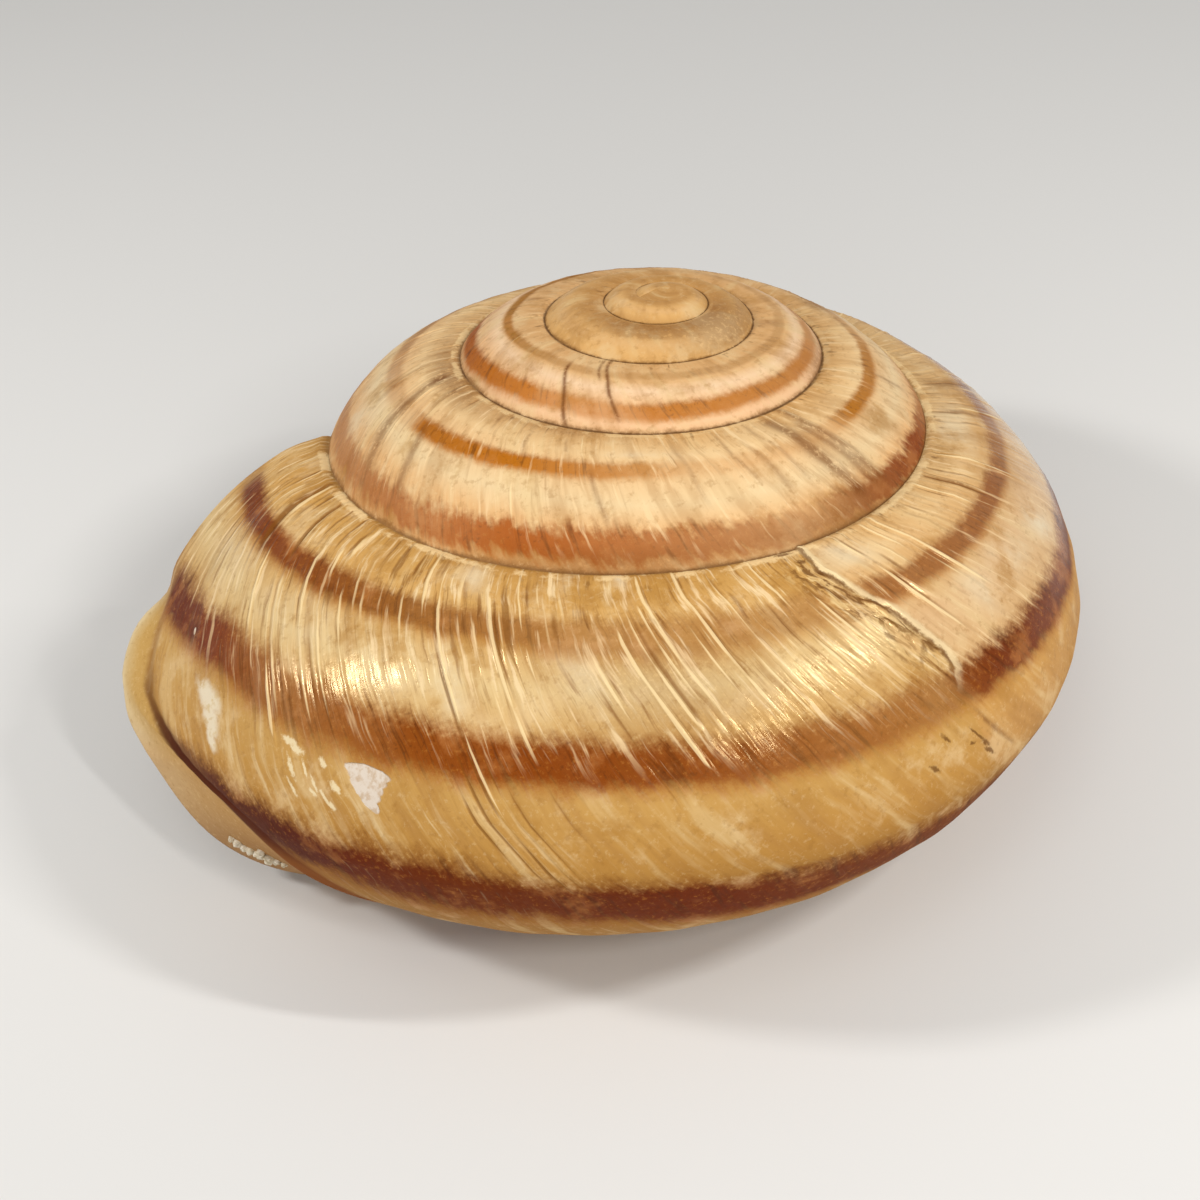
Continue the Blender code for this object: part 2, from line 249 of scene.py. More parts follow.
# Whorl and how dark the band is there, from 0 to 1
UPPER_DEPTH = (
    (2.35, 0), (2.55, .35), (2.75, .45), (2.9, .3), (3.0, .5), (3.08, .9), (3.15, .9), (3.3, .8), (3.55, .4),
    (3.6, .8), (3.7, .95), (3.73, .2), (3.84, .15), (3.88, .7), (3.95, 1), (4.03, 1), (4.045, .15), (4.1, .5),
    (4.3, .8), (4.57, .85), (4.62, .65), (4.66, .9), (4.764, .85), (4.772, .3), (4.8, .5), (4.88, .6),
    (4.92, .8), (4.96, .95), (5.0, 1), (5.088, 1), (5.097, .3))
MIDDLE_DEPTH = (
    (2.35, 0), (2.6, .6), (2.7, .8), (2.88, .9), (2.92, .5), (2.97, .6), (3.0, .9), (3.15, 1), (3.5, .9),
    (3.58, .4), (3.64, .7), (3.68, 1), (3.75, .9), (3.79, .3), (3.83, .7), (3.95, .95), (4.0, .8), (4.1, .5),
    (4.3, .8), (4.66, 1), (4.765, 1), (4.775, .6), (4.8, .75), (4.86, .95), (4.95, 1), (5.0, .72),
    (5.04, .95), (5.088, 1), (5.097, .4))
LOWER_DEPTH = (
    (2.5, .8), (4.8, .9), (4.9, 1), (5.05, 1), (5.065, .7), (5.08, .4), (5.095, 0))

# Where the lip once broke and grew on: the angle and the whorl of the old edge there
BREAK = (
    (-30, 4.79), (14, 4.784), (22, 4.782), (30, 4.776), (38, 4.774), (42, 4.772), (46, 4.768), (50, 4.763),
    (55, 4.763), (62, 4.764), (70, 4.766), (75, 4.770), (78, 4.772), (85, 4.773), (92, 4.775), (98, 4.772),
    (107, 4.771), (120, 4.770))
TURN_AT_BREAK = 104         # millimetres in a turn of growth there

# Brown cracks and stains, and pale places: whorl, half width in turns, strength, upper and lower angle
STAINS = (
    (4.865, .035, .3, 78, 46), (1.7, .14, .55, 130, 50), (1.92, .12, .4, 130, 80), (3.93, .05, .5, 124, 100),
    (4.06, .07, .55, 124, 92), (3.78, .06, .4, 54, 30), (3.9, .05, .4, 50, 30), (2.66, .05, .5, 64, 40),
    (2.918, .0024, 1, 122, 54), (2.927, .0022, .8, 122, 84), (2.966, .0024, 1, 104, 44),
    (2.62, .012, .4, 122, 96), (3.17, .004, .5, 112, 90), (3.51, .02, .5, 104, 60),
    (3.636, .0022, .6, 84, 58), (3.735, .004, .75, 116, 44), (3.742, .003, .6, 100, 44),
    (3.756, .006, .8, 112, 44), (3.775, .002, .4, 112, 60), (3.79, .002, .4, 100, 60),
    (3.805, .0015, .5, 112, 66), (3.84, .0015, .3, 104, 60), (3.9, .0018, .55, 84, 52),
    (3.915, .0012, .45, 104, 84), (3.945, .0015, .5, 104, 78), (3.975, .0015, .4, 110, 92),
    (4.026, .003, .6, 82, 44), (4.035, .002, .4, 110, 80), (4.06, .005, .7, 106, 44),
    (4.09, .003, .35, 100, 60), (4.5665, .005, .6, 104, 60), (4.5985, .0014, .7, 102, 76),
    (4.671, .0013, .8, 104, 74), (4.683, .001, .5, 100, 84), (4.7785, .0022, .6, 116, 100),
    (4.785, .003, .7, 118, 104), (4.793, .0035, .75, 118, 105), (4.7815, .0011, .9, 36, 10),
    (4.7945, .0014, .5, 38, 28), (4.8595, .0018, .4, 34, 24), (5.0225, .0016, .7, 106, 80),
    (5.0445, .003, .65, 106, 72), (5.07, .003, .3, 72, 54))
# Pale places: bleached shell, and from whorl 4.66 on mostly painted sheen and highlight
PALE_AND_SHEEN_PATCHES = (
    (2.81, .01, .4, 92, 70), (3.53, .012, .5, 96, 60), (3.86, .03, .4, 100, 84), (4.1, .02, .5, 80, 44),
    (4.62, .03, .5, 106, 82), (4.668, .008, .7, 66, 46), (4.7, .016, .5, 70, 52), (4.728, .006, .5, 70, 50),
    (4.755, .01, .5, 108, 84), (4.861, .0035, .6, 110, 90), (4.883, .004, .7, 110, 84),
    (4.886, .007, .6, 76, 60), (4.928, .006, .5, 108, 88), (4.935, .005, .6, 76, 52),
    (4.96, .012, .5, 76, 56), (5.0, .02, .3, 76, 60), (5.055, .014, .35, 76, 62))

# The back of the lip's rim: the angle and the whorl there
RIM_BACK = (
    (-60, 5.036), (-12, 5.04), (-5, 5.044), (2, 5.0485), (8, 5.053), (10, 5.0575), (12.6, 5.0645),
    (15.7, 5.0725), (18.5, 5.078), (23, 5.0855), (36, 5.088), (49, 5.0895), (70, 5.092), (110, 5.093))
DEPTH_PER_RADIAN = 7.4      # millimetres down the body whorl's side for each radian of angle


def course(place, table):
    places, values = zip(*table)
    return np.interp(place, places, values)


def past_break(growth, angle):
    """Millimetres of growth since the mended break."""
    return (growth - course(angle, BREAK)) * TURN_AT_BREAK


def rim_distance(growth, angle):
    """Millimetres of growth past the back of the lip's rim."""
    return (growth - course(angle, RIM_BACK)) * TURN_AT_BREAK


# The real surface: growth ridges, creases, the suture's rim and the mended break
ridge_dice = np.random.default_rng(11)
RIDGE_WHORLS = (1.95, 5.075)
RIDGE_STEPS = (0.0012, 0.0042)          # turns from one ridge to the next
RIDGE_HALF_WIDTHS = (0.0007, 0.0011)    # turns
STRONG_PART = 0.13                      # part of the ridges that are strong
STRONG_HEIGHTS = (0.018, 0.035)         # millimetres
WEAK_HEIGHTS = (-0.02, 0.016)

# Ridges and grooves that stand out: whorl, height in millimetres, half width in turns, upper and lower angle
CREASES = (
    (4.8005, .03, .0008, 108, 84), (4.822, .025, .0007, 104, 60), (4.8275, .035, .0007, 74, 44),
    (4.8365, .05, .0008, 112, 44), (4.843, .03, .0007, 80, 50), (4.8535, .055, .0008, 110, 42),
    (4.8575, .035, .0007, 90, 42), (4.8635, .035, .0007, 96, 46), (4.8695, .05, .0008, 78, 38),
    (4.8785, -.02, .0011, 110, 82), (4.8885, .025, .0008, 100, 52), (4.898, .025, .0007, 100, 80),
    (4.9025, -.025, .0008, 108, 70), (4.906, .035, .0007, 104, 62), (4.9115, -.025, .0008, 100, 62),
    (4.9165, -.035, .0008, 96, 44), (4.9185, .045, .0008, 92, 40), (4.9255, .025, .0007, 84, 56),
    (4.9405, .03, .0007, 98, 24), (4.9423, -.035, .0008, 112, -2), (4.9195, -.02, .0008, 40, 14),
    (4.9325, -.025, .0008, 40, 6), (4.9365, -.025, .0008, 46, 2), (4.9475, -.03, .0008, 50, 5),
    (4.953, -.025, .0008, 44, 10), (4.96, -.02, .0008, 30, 8), (4.9475, .035, .0007, 96, 74),
    (4.9495, -.04, .0008, 110, 84), (4.9555, -.03, .0008, 108, 86), (4.9655, -.045, .0008, 110, 86),
    (4.9725, -.03, .0008, 108, 88), (4.979, -.035, .0008, 108, 86), (4.9865, .03, .0007, 78, 42),
    (4.9915, -.04, .0008, 110, 86), (4.9975, .04, .0008, 78, 40), (5.0005, -.04, .0008, 110, 84),
    (5.0065, .045, .0008, 84, 38), (5.0125, -.035, .0008, 110, 86), (5.0195, .03, .0007, 84, 44),
    (5.0225, -.06, .001, 110, 76), (5.0255, .045, .0008, 84, 34), (5.0325, -.035, .0008, 108, 82),
    (5.0365, .03, .0008, 84, 54), (5.0445, -.06, .0018, 108, 70), (5.0535, -.035, .001, 106, 86),
    (5.0615, -.025, .0009, 104, 86), (5.0685, .02, .0009, 96, 82), (4.577, -.03, .0012, 104, 78),
    (4.5985, -.045, .001, 104, 76), (4.6455, -.02, .0009, 104, 60), (4.662, -.03, .0009, 102, 74),
    (4.671, -.05, .0009, 104, 74), (4.6835, -.03, .0009, 100, 82), (4.7015, -.02, .0009, 100, 70),
    (4.7255, .05, .0009, 108, 52), (4.7335, .035, .0008, 106, 70), (4.7405, .025, .0008, 100, 72),
    (4.7525, .03, .0007, 84, 50), (4.7835, .035, .0008, 86, 60), (4.788, .035, .0007, 82, 58),
    (4.7925, .04, .0008, 80, 56), (4.7975, .03, .0007, 90, 56), (4.8035, .04, .0009, 74, 54),
    (4.812, .04, .0008, 72, 50))


def grown_ridges():
    """Growth ridges as rows of whorl, height, half width, and the angles where they start and end."""
    rows = [(whorl, height * MM, half_width, head, foot) for whorl, height, half_width, head, foot in CREASES]
    whorl, last = RIDGE_WHORLS
    while whorl < last:
        strong = ridge_dice.random() < STRONG_PART
        height = ridge_dice.uniform(*(STRONG_HEIGHTS if strong else WEAK_HEIGHTS)) * MM
        half_width = ridge_dice.uniform(*RIDGE_HALF_WIDTHS)
        head = 130 if ridge_dice.random() < 0.6 else ridge_dice.uniform(70, 100)
        foot = head - ridge_dice.uniform(24, 48) - (30 if head > 110 else 0)
        rows.append((whorl, height, half_width, head, foot))
        whorl += ridge_dice.uniform(*RIDGE_STEPS)
    return rows


def rolling(seed, growth, angle, turns, degrees):
    """A smooth uneven field of about -1 to 1, with swells about so many turns and degrees long."""
    dice = np.random.default_rng(seed)
    total = np.zeros(np.broadcast(growth, angle).shape)
    for _ in range(7):
        across, down = dice.normal(0, 1, 2)
        wave = across * growth / turns + down * angle / degrees
        total += np.sin(2 * math.pi * wave + dice.uniform(0, 6.3))
    return total / 2.7


RIDGES = grown_ridges()


def depth_below(top, angle, size):
    """Millimetres below the suture, stretched on the small early whorls so that their sutures stay thin."""
    return np.radians(top - angle) * size ** 0.5 * DEPTH_PER_RADIAN


def growth_ridges(growth, angle, top):
    """Height of the growth ridges alone, for one row of places in order of growth."""
    total = np.zeros(len(growth))
    size = tube_size(growth)[0] / BODY_RADIUS
    for whorl, height, half_width, head, foot in RIDGES:
        first, end = np.searchsorted(growth, (whorl - 4 * half_width, whorl + 4 * half_width))
        if first == end:
            continue
        part = slice(first, end)
        away = (growth[part] - whorl) / half_width
        crest = bell(away, 0, 1) - 0.35 * bell(away, -1.9, 1)
        window = smooth((angle[part] - foot) / 12) * smooth((head + 6 - angle[part]) / 10)
        total[part] += height * crest * window
    total = total * (1 + 0.7 * rolling(5, growth, angle, 0.012, 26))
    return total * mix(0.3, 1, smooth(depth_below(top, angle, size) / 0.4)) * size


def relief(growth, angle, top):
    """Height of the surface above the plain tube, for one row of places in order of growth."""
    size = tube_size(growth)[0] / BODY_RADIUS
    below = depth_below(top, angle, size)
    uneven = 1 + 0.6 * rolling(3, growth, 0 * angle, 0.03, 1) + 0.6 * rolling(4, growth, angle, 0.008, 12)
    total = 0.04 * uneven * bell(below, 0.3, 0.15) - 0.05 * bell(below, 0, 0.1)
    total += 0.03 * rolling(7, growth, angle, 0.05, 60) * smooth(below / 1.5)
    # The mended break: the old edge stands proud, and the new growth starts from under it
    even = growth + lean(growth, angle)
    past = past_break(even, angle)
    step = 0.05 * bell(past, -0.14, 0.16)
    step -= 0.1 * smooth(past / 0.1 + 0.5) * np.exp(-np.maximum(past, 0) / 1.2)
    total += step * smooth((angle - 20) / 25)
    # The furrow behind the lip's rim, and the rim's own swell
    rim = rim_distance(even, angle)
    at_lip = smooth((growth - 5.02) / 0.02) * smooth((40 - angle) / 15)
    total -= 0.1 * bell(rim, 0, 0.5) * at_lip * smooth((angle + 12) / 12)
    total += 0.12 * bell(rim, 1.3, 0.7) * at_lip
    total -= 0.3 * smooth(rim / 1.6) * at_lip * bell(angle, 2, 14)
    # The rim's outline: a low swell on its upper part, and a notch where that starts
    at_edge = smooth(rim / 1.1) * smooth((growth - 5.07) / 0.02)
    total += 0.25 * at_edge * bell(angle, 38, 12)
    total -= 0.42 * at_edge * bell(angle, 42.5, 5.2)
    return growth_ridges(growth, angle, top) + total * size * MM


# Whorl and the most turns by which the growth lines lag there
LEAN = ((4.3, 0), (4.5, -0.007), (4.93, -0.009), (4.98, -0.02), (5.05, -0.02), (5.088, 0))


def lean(growth, angle):
    """Turns by which the real growth lines stray from the even law on the last part of the body whorl.

    A growth line plus its lean is the even law's growth line through the same place: bands and marks use it.
    """
    swing = smooth((88 - angle) / 52) * smooth((angle + 25) / 40)
    stray = 0.0006 * rolling(9, growth, angle, 0.06, 90) * smooth((growth - 4.3) / 0.2)
    stray = stray * smooth((5.09 - growth) / 0.03) * smooth((100 - angle) / 10) * smooth((angle + 60) / 40)
    return course(growth, LEAN) * swing + stray


def touching(columns, sutures, rates, start, end, inner):
    """Where each growth line, followed from one angle to the other, meets the whorl before it.

    Returns its angle there, its whorl, and the angle on the whorl before it.
    """
    wall = wall_at(columns) if inner else 0.0

    def place(angle):
        whorl = columns - rates * lag(sutures, angle)
        distance, height = section(whorl, angle, wall, lip_flare(columns, angle))
        on, out = section_place(whorl - 1, distance, height)
        return whorl, on, out

    near = np.full(len(columns), float(start))
    far = np.full(len(columns), float(end))
    found = np.zeros(len(columns), bool)
    for angle in np.linspace(start, end, 120)[1:]:
        inside = place(np.full(len(columns), angle))[2] < 1
        far = np.where(inside & ~found, angle, far)
        found |= inside
        near = np.where(found, near, angle)
    for _ in range(30):
        middle = (near + far) / 2
        inside = place(middle)[2] < 1
        far = np.where(inside, middle, far)
        near = np.where(inside, near, middle)
    whorl, on, _ = place(near)
    return near, whorl, on


class Growth:
    """Where every growth line starts, ends and meets the whorl before it."""

    def __init__(self):
        self.lines = LIP_WHORL - PERIOD * (LINES - np.arange(LINES + 1)) / COLUMNS
        still = np.zeros(len(self.lines))
        self.top, _, self.top_on = self.meet(np.full(len(self.lines), 180.0), still, SUTURE_SCAN)
        covered = self.top_on[np.minimum(np.arange(len(self.lines)) + COLUMNS, LINES)]
        self.rate = SUTURE_LAG / lag(self.top, covered)
        late = smooth((self.lines - self.lines[HELD]) / FADE_TURNS)
        self.rate = np.where(late > 0, mix(self.rate[HELD], 1.0, late), self.rate)
        self.base, _, self.base_on = self.meet(self.top, self.rate, BASE_SCAN)
        self.inner_top, self.inner_top_whorl, self.inner_top_on = self.meet(
            self.top, self.rate, SUTURE_SCAN, inner=True)
        self.inner_base, self.inner_base_whorl, self.inner_base_on = self.meet(
            self.top, self.rate, BASE_SCAN, inner=True)
        self.base_whorl = self.whorl(np.arange(len(self.lines)), self.base)

    def meet(self, tops, rates, scan, inner=False):
        """As touching(), with the first whorls, too small to touch, set to what follows them."""
        found = touching(self.lines, tops, rates, *scan, inner)
        first = int(np.argmax(self.lines > FIRST_TOUCH))
        early = self.lines <= FIRST_TOUCH
        angle, whorl, on = (np.where(early, values[first], values) for values in found)
        return angle, whorl, on

    def whorl(self, line, angle):
        """Whorl at which a growth line passes an angle."""
        return self.lines[line] - self.rate[line] * lag(self.top[line], angle) + lean(self.lines[line], angle)

    def outer(self, line, angle, whorl, share=1.0):
        """Points on the outside of the tube, with a share of its relief."""
        flare = lip_flare(whorl + lag(self.top[line], angle), angle)
        raised = relief(self.lines[line], angle, self.top[line]) * share
        return spin(whorl, *section(whorl, angle, -raised, flare))

    def inside(self, line, angle, whorl):
        """Points on the wall of the hollow."""
        flare = lip_flare(whorl + lag(self.top[line], angle), angle)
        return spin(whorl, *section(whorl, angle, wall_at(self.lines[line]), flare))


# Columns of a note, and the strips that faces belong to
LINE, GROWTH, ANGLE, CALLUS, LEVEL = range(5)
OUTSIDE, PARIETAL, UNDER, HOLLOW, RIM, ENDS = range(6)
BARE, GLAZED, LINED = 0.0, 1.0, 2.0     # callus: none outside, a glaze on the wall, the hollow's lining


class Sheet:
    """Gathers points, the notes of what lies at each corner, and faces that share their points."""

    def __init__(self):
        self.points = []
        self.count = 0
        self.vertex = []
        self.notes = []
        self.marks = 0
        self.faces = []
        self.strips = []

    def add(self, points):
        """Takes in new points and returns their numbers."""
        first = self.count
        self.points.append(points)
        self.count += len(points)
        return np.arange(first, self.count)

    def mark(self, vertices, line, growth, angle, callus, level):
        """Notes what lies at these points as seen from one side, and returns the notes' numbers."""
        first = self.marks
        columns = np.broadcast_arrays(vertices, line, growth, angle, callus, level)
        self.vertex.append(np.array(vertices))
        self.notes.append(np.stack(columns[1:], -1).astype(float))
        self.marks += len(vertices)
        return list(range(first, self.marks))

    def face(self, corners, strip):
        self.faces.append(corners)
        self.strips.append(strip)

    def knit(self, upper, lower, strip, start=0, end=LINES, inward=False, left_edge=(), right_edge=()):
        """Faces between two rows, each a dict of growth line to note; the rows need not be equally fine."""
        above = list(upper)
        below = list(lower)
        above_at = {line: place for place, line in enumerate(above)}
        below_at = {line: place for place, line in enumerate(below)}
        shared = [line for line in above if line in below_at and start <= line <= end]
        for left, right in zip(shared, shared[1:]):
            top = above[above_at[left]:above_at[right] + 1]
            bottom = below[below_at[left]:below_at[right] + 1]
            corners = [upper[line] for line in top]
            if right == shared[-1]:
                corners += right_edge
            corners += [lower[line] for line in reversed(bottom)]
            if left == shared[0]:
                corners += left_edge
            self.face(corners[::-1] if inward else corners, strip)


def every(steps, first, last):
    """Growth lines from first to last, spaced by steps of (up to this whorl, one in so many)."""
    lines = []
    line = first
    while line < last:
        lines.append(line)
        whorl = LIP_WHORL - PERIOD * (LINES - line) / COLUMNS
        pace = next((pace for limit, pace in steps if whorl < limit), 1)
        line += min(pace, last - line) if line % pace == 0 else 1
    return np.array(lines + [last])


def with_room(lines):
    """Leaves the place just after the lip's foot free, for the rounded end of the lip."""
    return np.array([line for line in lines if not HELD < line < HELD + RIM_ROOM])


def along_next(lines, vertex):
    """Growth lines for a row that the next turn's edge lies on, and the points of it that exist already."""
    covered = [line - COLUMNS for line in lines.tolist() if line >= COLUMNS]
    free = [line for line in lines.tolist() if line >= HELD + RIM_ROOM]
    return np.array(covered + free), {line: vertex[line + COLUMNS] for line in covered}


def shares_of(profile):
    """How far along the profile each of its angles lies, from 0 to 1."""
    return (profile - profile[0]) / (profile[-1] - profile[0])


def with_gaps(rows, gaps):
    """Rows in order, with the short rows of each gap between them."""
    column = [rows[0]]
    for short, row in zip(gaps, rows[1:]):
        column += [*short, row]
    return column


class Shell:
    """The whole surface, row by row: outside, parietal wall, funnel, hollow and lip."""

    def __init__(self):
        self.growth = growth = Growth()
        self.sheet = Sheet()
        count = np.arange(LINES + 1)
        self.tops = growth.outer(count, growth.top, growth.lines)
        self.bases = growth.outer(count, growth.base, growth.base_whorl)
        self.top_vertex = {}
        self.base_vertex = {}
        self.top_lines = every(COARSE, 0, LINES)
        whorls, lip = (((ALL_ALONG, pace),) for pace in FUNNEL_PACES)
        self.base_lines = np.concatenate([every(whorls, 0, HELD), every(lip, HELD, LINES)[1:]])
        for lines, points, names in ((self.top_lines, self.tops, self.top_vertex),
                                     (self.base_lines, self.bases, self.base_vertex)):
            names.update(zip(lines.tolist(), self.sheet.add(points[lines]).tolist()))
        pace = HOLLOW_COARSE[0][1]
        self.hollow_first = int(np.argmax(growth.lines > CAVITY_FROM)) // pace * pace
        self.hollow_lines = every(HOLLOW_COARSE, self.hollow_first, LINES)

    def past_foot(self, lines, turns):
        """From 0 at the lip's foot to 1 so many turns past it."""
        return smooth((self.growth.lines[lines] - self.growth.lines[HELD]) / turns)

    def row(self, lines, points, angle, known, callus=BARE):
        """One row of the surface, where some of its points may exist already."""
        new = np.array([line not in known for line in lines.tolist()])
        vertices = np.zeros(len(lines), int)
        vertices[new] = self.sheet.add(points[new])
        vertices[~new] = [known[line] for line in lines[~new].tolist()]
        top, base = self.growth.top[lines], self.growth.base[lines]
        level = (top - angle) / (top - base)
        notes = self.sheet.mark(vertices, lines, self.growth.lines[lines], angle, callus, level)
        return dict(zip(lines.tolist(), notes))

    def exposed_row(self, number):
        """A row of the outside, from the suture above it to the suture of the next turn."""
        growth = self.growth
        part = EXPOSED[number]
        lines = self.top_lines
        known = {}
        if number == 0:
            known = self.top_vertex
        elif part == 1:
            lines, known = along_next(lines, self.top_vertex)
        following = np.minimum(lines + COLUMNS, LINES)
        angle = mix(growth.top[lines], growth.top_on[following], part)
        whorl = growth.whorl(lines, angle)
        points = growth.outer(lines, angle, whorl)
        end_angle = growth.top_on[following]
        ends = growth.outer(lines, end_angle, growth.whorl(lines, end_angle))
        apart = self.tops[following] - ends
        held = np.searchsorted(lines, HELD)
        late = lines > HELD
        apart[late] = apart[held] * (1 - self.past_foot(lines[late], APART_TURNS))[:, None]
        return self.row(lines, points + part * apart, angle, known)

    def joined_row(self, lines, known, closed, opened, held, part, callus):
        """A row that is parietal wall or funnel up to the lip's foot, and open surface after it.

        Between its two edges the closed part moves along with them, to the points where they are held.
        """
        growth = self.growth
        early = lines <= HELD
        angle = np.zeros(len(lines))
        whorl = np.zeros(len(lines))
        angle[early], whorl[early] = closed(lines[early])
        angle[~early], whorl[~early] = opened(lines[~early])
        share = self.past_foot(lines, SHARE_TURNS)
        points = growth.outer(lines, angle, whorl, share)
        if known is None:
            known = {}
            for weight, end in ((1 - part, 0), (part, 1)):
                edge = growth.outer(lines[early], *closed(lines[early], end), np.zeros(early.sum()))
                points[early] += weight * (held(lines[early])[end] - edge)
        return self.row(lines, points, angle, known, np.where(early, callus, callus * (1 - share)))

    def covered_row(self, number):
        """A row of the parietal wall, the part of a whorl that the next turn's hollow lies on."""
        growth = self.growth
        part = COVERED[number]
        edge = part in (0, 1)
        early = self.hollow_lines - COLUMNS
        pace = 1 if number <= COVERED_FINE else 2
        late = every(((ALL_ALONG, pace),), HELD, LINES)[1:]
        lines = np.concatenate([early, with_room(late) if edge else late])
        held_angle = growth.inner_top_on[LINES], growth.inner_base_on[LINES]
        shifts = (growth.inner_top_whorl[LINES] - 1 - growth.whorl(HELD, held_angle[0]),
                  growth.inner_base_whorl[LINES] - 1 - growth.whorl(HELD, held_angle[1]))

        def closed(line, part=part):
            following = line + COLUMNS
            angle = mix(growth.inner_top_on[following], growth.inner_base_on[following], part)
            whorl = mix(growth.inner_top_whorl[following], growth.inner_base_whorl[following], part) - 1
            return angle, whorl

        def opened(line):
            angle = np.full(len(line), mix(*held_angle, part))
            fading = 1 - self.past_foot(line, FADE_TURNS)
            return angle, growth.whorl(line, angle) + fading * mix(*shifts, part)

        def held(line):
            places = np.searchsorted(self.hollow_lines, line + COLUMNS)
            return [points[places] for points in self.hollow_ends]

        known = None
        if edge:
            row = self.hollow_rows[0 if part == 0 else -1]
            known = {line: int(self.hollow_vertices[row[line + COLUMNS]]) for line in early.tolist()}
        return self.joined_row(lines, known, closed, opened, held, part, GLAZED)

    def funnel_row(self, number):
        """A row of the narrow funnel underneath, from the next turn's base to the tube's own."""
        growth = self.growth
        part = FUNNEL[number]
        held_shift = growth.base_whorl[LINES] - 1 - growth.whorl(HELD, growth.base_on[LINES])
        lines = self.base_lines
        known = None
        if part == 1:
            known = self.base_vertex
        elif part == 0:
            lines, known = along_next(lines, self.base_vertex)

        def closed(line, part=part):
            following = line + COLUMNS
            angle = mix(growth.base_on[following], growth.base[line], part)
            return angle, mix(growth.base_whorl[following] - 1, growth.base_whorl[line], part)

        def opened(line):
            angle = mix(growth.base_on[LINES], growth.base[line], part)
            fading = 1 - self.past_foot(line, FADE_TURNS)
            return angle, growth.whorl(line, angle) + fading * mix(held_shift, 0, part)

        def held(line):
            return self.bases[line + COLUMNS], self.bases[line]

        return self.joined_row(lines, known, closed, opened, held, part, BARE)

    def lip_rows(self, rows, counts, inner=False):
        """Short rows between each two rows, near the lip only, so that its curved outline is smooth."""
        growth = self.growth
        marks = np.concatenate(self.sheet.notes)
        gaps = []
        for first, second, count in zip(rows, rows[1:], counts):
            lines = [line for line in first if line >= LIP_FINE_FROM and line in second]
            ends = [marks[[row[line] for line in lines]] for row in (first, second)]
            lines = np.array(lines)
            short = []
            for number in range(1, count):
                _, _, angle, callus, _ = mix(*ends, number / count).T
                whorl = growth.whorl(lines, angle)
                points = (growth.inside if inner else growth.outer)(lines, angle, whorl)
                short.append(self.row(lines, points, angle, {}, callus))
            gaps.append(short)
        return gaps

    def knit_gap(self, first, second, short, strip, start=0, inward=False, left_edge=()):
        """Faces between two rows, with the short rows between them near the lip."""
        end = LIP_FINE_FROM if short else LINES
        self.sheet.knit(first, second, strip, start=start, end=end, inward=inward, left_edge=left_edge,
                        right_edge=[row[LIP_FINE_FROM] for row in short])
        if not short:
            return
        rows = [first, *short, second]
        for upper, lower in zip(rows, rows[1:]):
            self.sheet.knit(upper, lower, strip, start=LIP_FINE_FROM, inward=inward)

    def places(self, notes):
        """Points in space that notes belong to."""
        return np.concatenate(self.sheet.points)[np.concatenate(self.sheet.vertex)[notes]]

    def make_hollow(self, shares):
        """Rows of the hollow, at shares of the way from its top to its base."""
        growth = self.growth
        lines = self.hollow_lines
        self.hollow_rows = []
        self.hollow_ends = []
        for number, share in enumerate(shares):
            angle = mix(growth.inner_top[lines], growth.inner_base[lines], share)
            whorl = growth.whorl(lines, angle)
            points = growth.inside(lines, angle, whorl)
            if number in (0, len(shares) - 1):
                self.hollow_ends.append(points)
            self.hollow_rows.append(self.row(lines, points, angle, {}, LINED))
        self.hollow_vertices = np.concatenate(self.sheet.vertex)

    def build(self):
        """Makes all rows, the lip's rim and every face, and returns the sheet that holds them."""
        growth = self.growth
        profile = np.concatenate([
            mix(growth.top[LINES], growth.top_on[LINES], np.array(EXPOSED)),
            mix(growth.inner_top_on[LINES], growth.inner_base_on[LINES], np.array(COVERED)),
            mix(growth.base_on[LINES], growth.base[LINES], np.array(FUNNEL))])
        self.make_hollow(shares_of(profile))
        exposed = [self.exposed_row(number) for number in range(len(EXPOSED))]
        covered = [self.covered_row(number) for number in range(len(COVERED))]
        funnel = [self.funnel_row(number) for number in range(len(FUNNEL))]

        counts = []
        for before, after in zip(profile, profile[1:]):
            shown = LIP_FINE_ANGLES[0] < after < LIP_FINE_ANGLES[1]
            counts.append(max(1, math.ceil(abs(after - before) / LIP_FINE_STEPS[0 if shown else 1])))
        outside = exposed + covered + funnel
        outside_gaps = self.lip_rows(outside, counts)
        inside_gaps = self.lip_rows(self.hollow_rows, counts, inner=True)
        profile = np.concatenate([profile[:1]] + [
            mix(before, after, np.arange(1, count + 1) / count)
            for before, after, count in zip(profile, profile[1:], counts)])
        rings = self.rim(with_gaps(outside, outside_gaps), with_gaps(self.hollow_rows, inside_gaps), profile)

        start = 0
        for rows, strip in ((exposed, OUTSIDE), (covered, PARIETAL), (funnel, UNDER)):
            for first, second, short in zip(rows, rows[1:], outside_gaps[start:]):
                self.knit_gap(first, second, short, strip)
            start += len(rows)
        upper_end = [ring[0] for ring in rings[-2:0:-1]]
        lower_end = [ring[-1] for ring in rings[1:-1]]
        last_exposed = len(exposed) - 1
        last_covered = last_exposed + len(covered)
        for first, second, gap, rim_end in ((exposed[-1], covered[0], last_exposed, upper_end),
                                            (covered[-1], funnel[0], last_covered, lower_end)):
            self.knit_gap(first, second, outside_gaps[gap], PARIETAL, HELD, left_edge=rim_end)
        for first, second, short in zip(self.hollow_rows, self.hollow_rows[1:], inside_gaps):
            self.knit_gap(first, second, short, HOLLOW, inward=True)
        self.close_ends(exposed, covered, funnel)
        return self.sheet

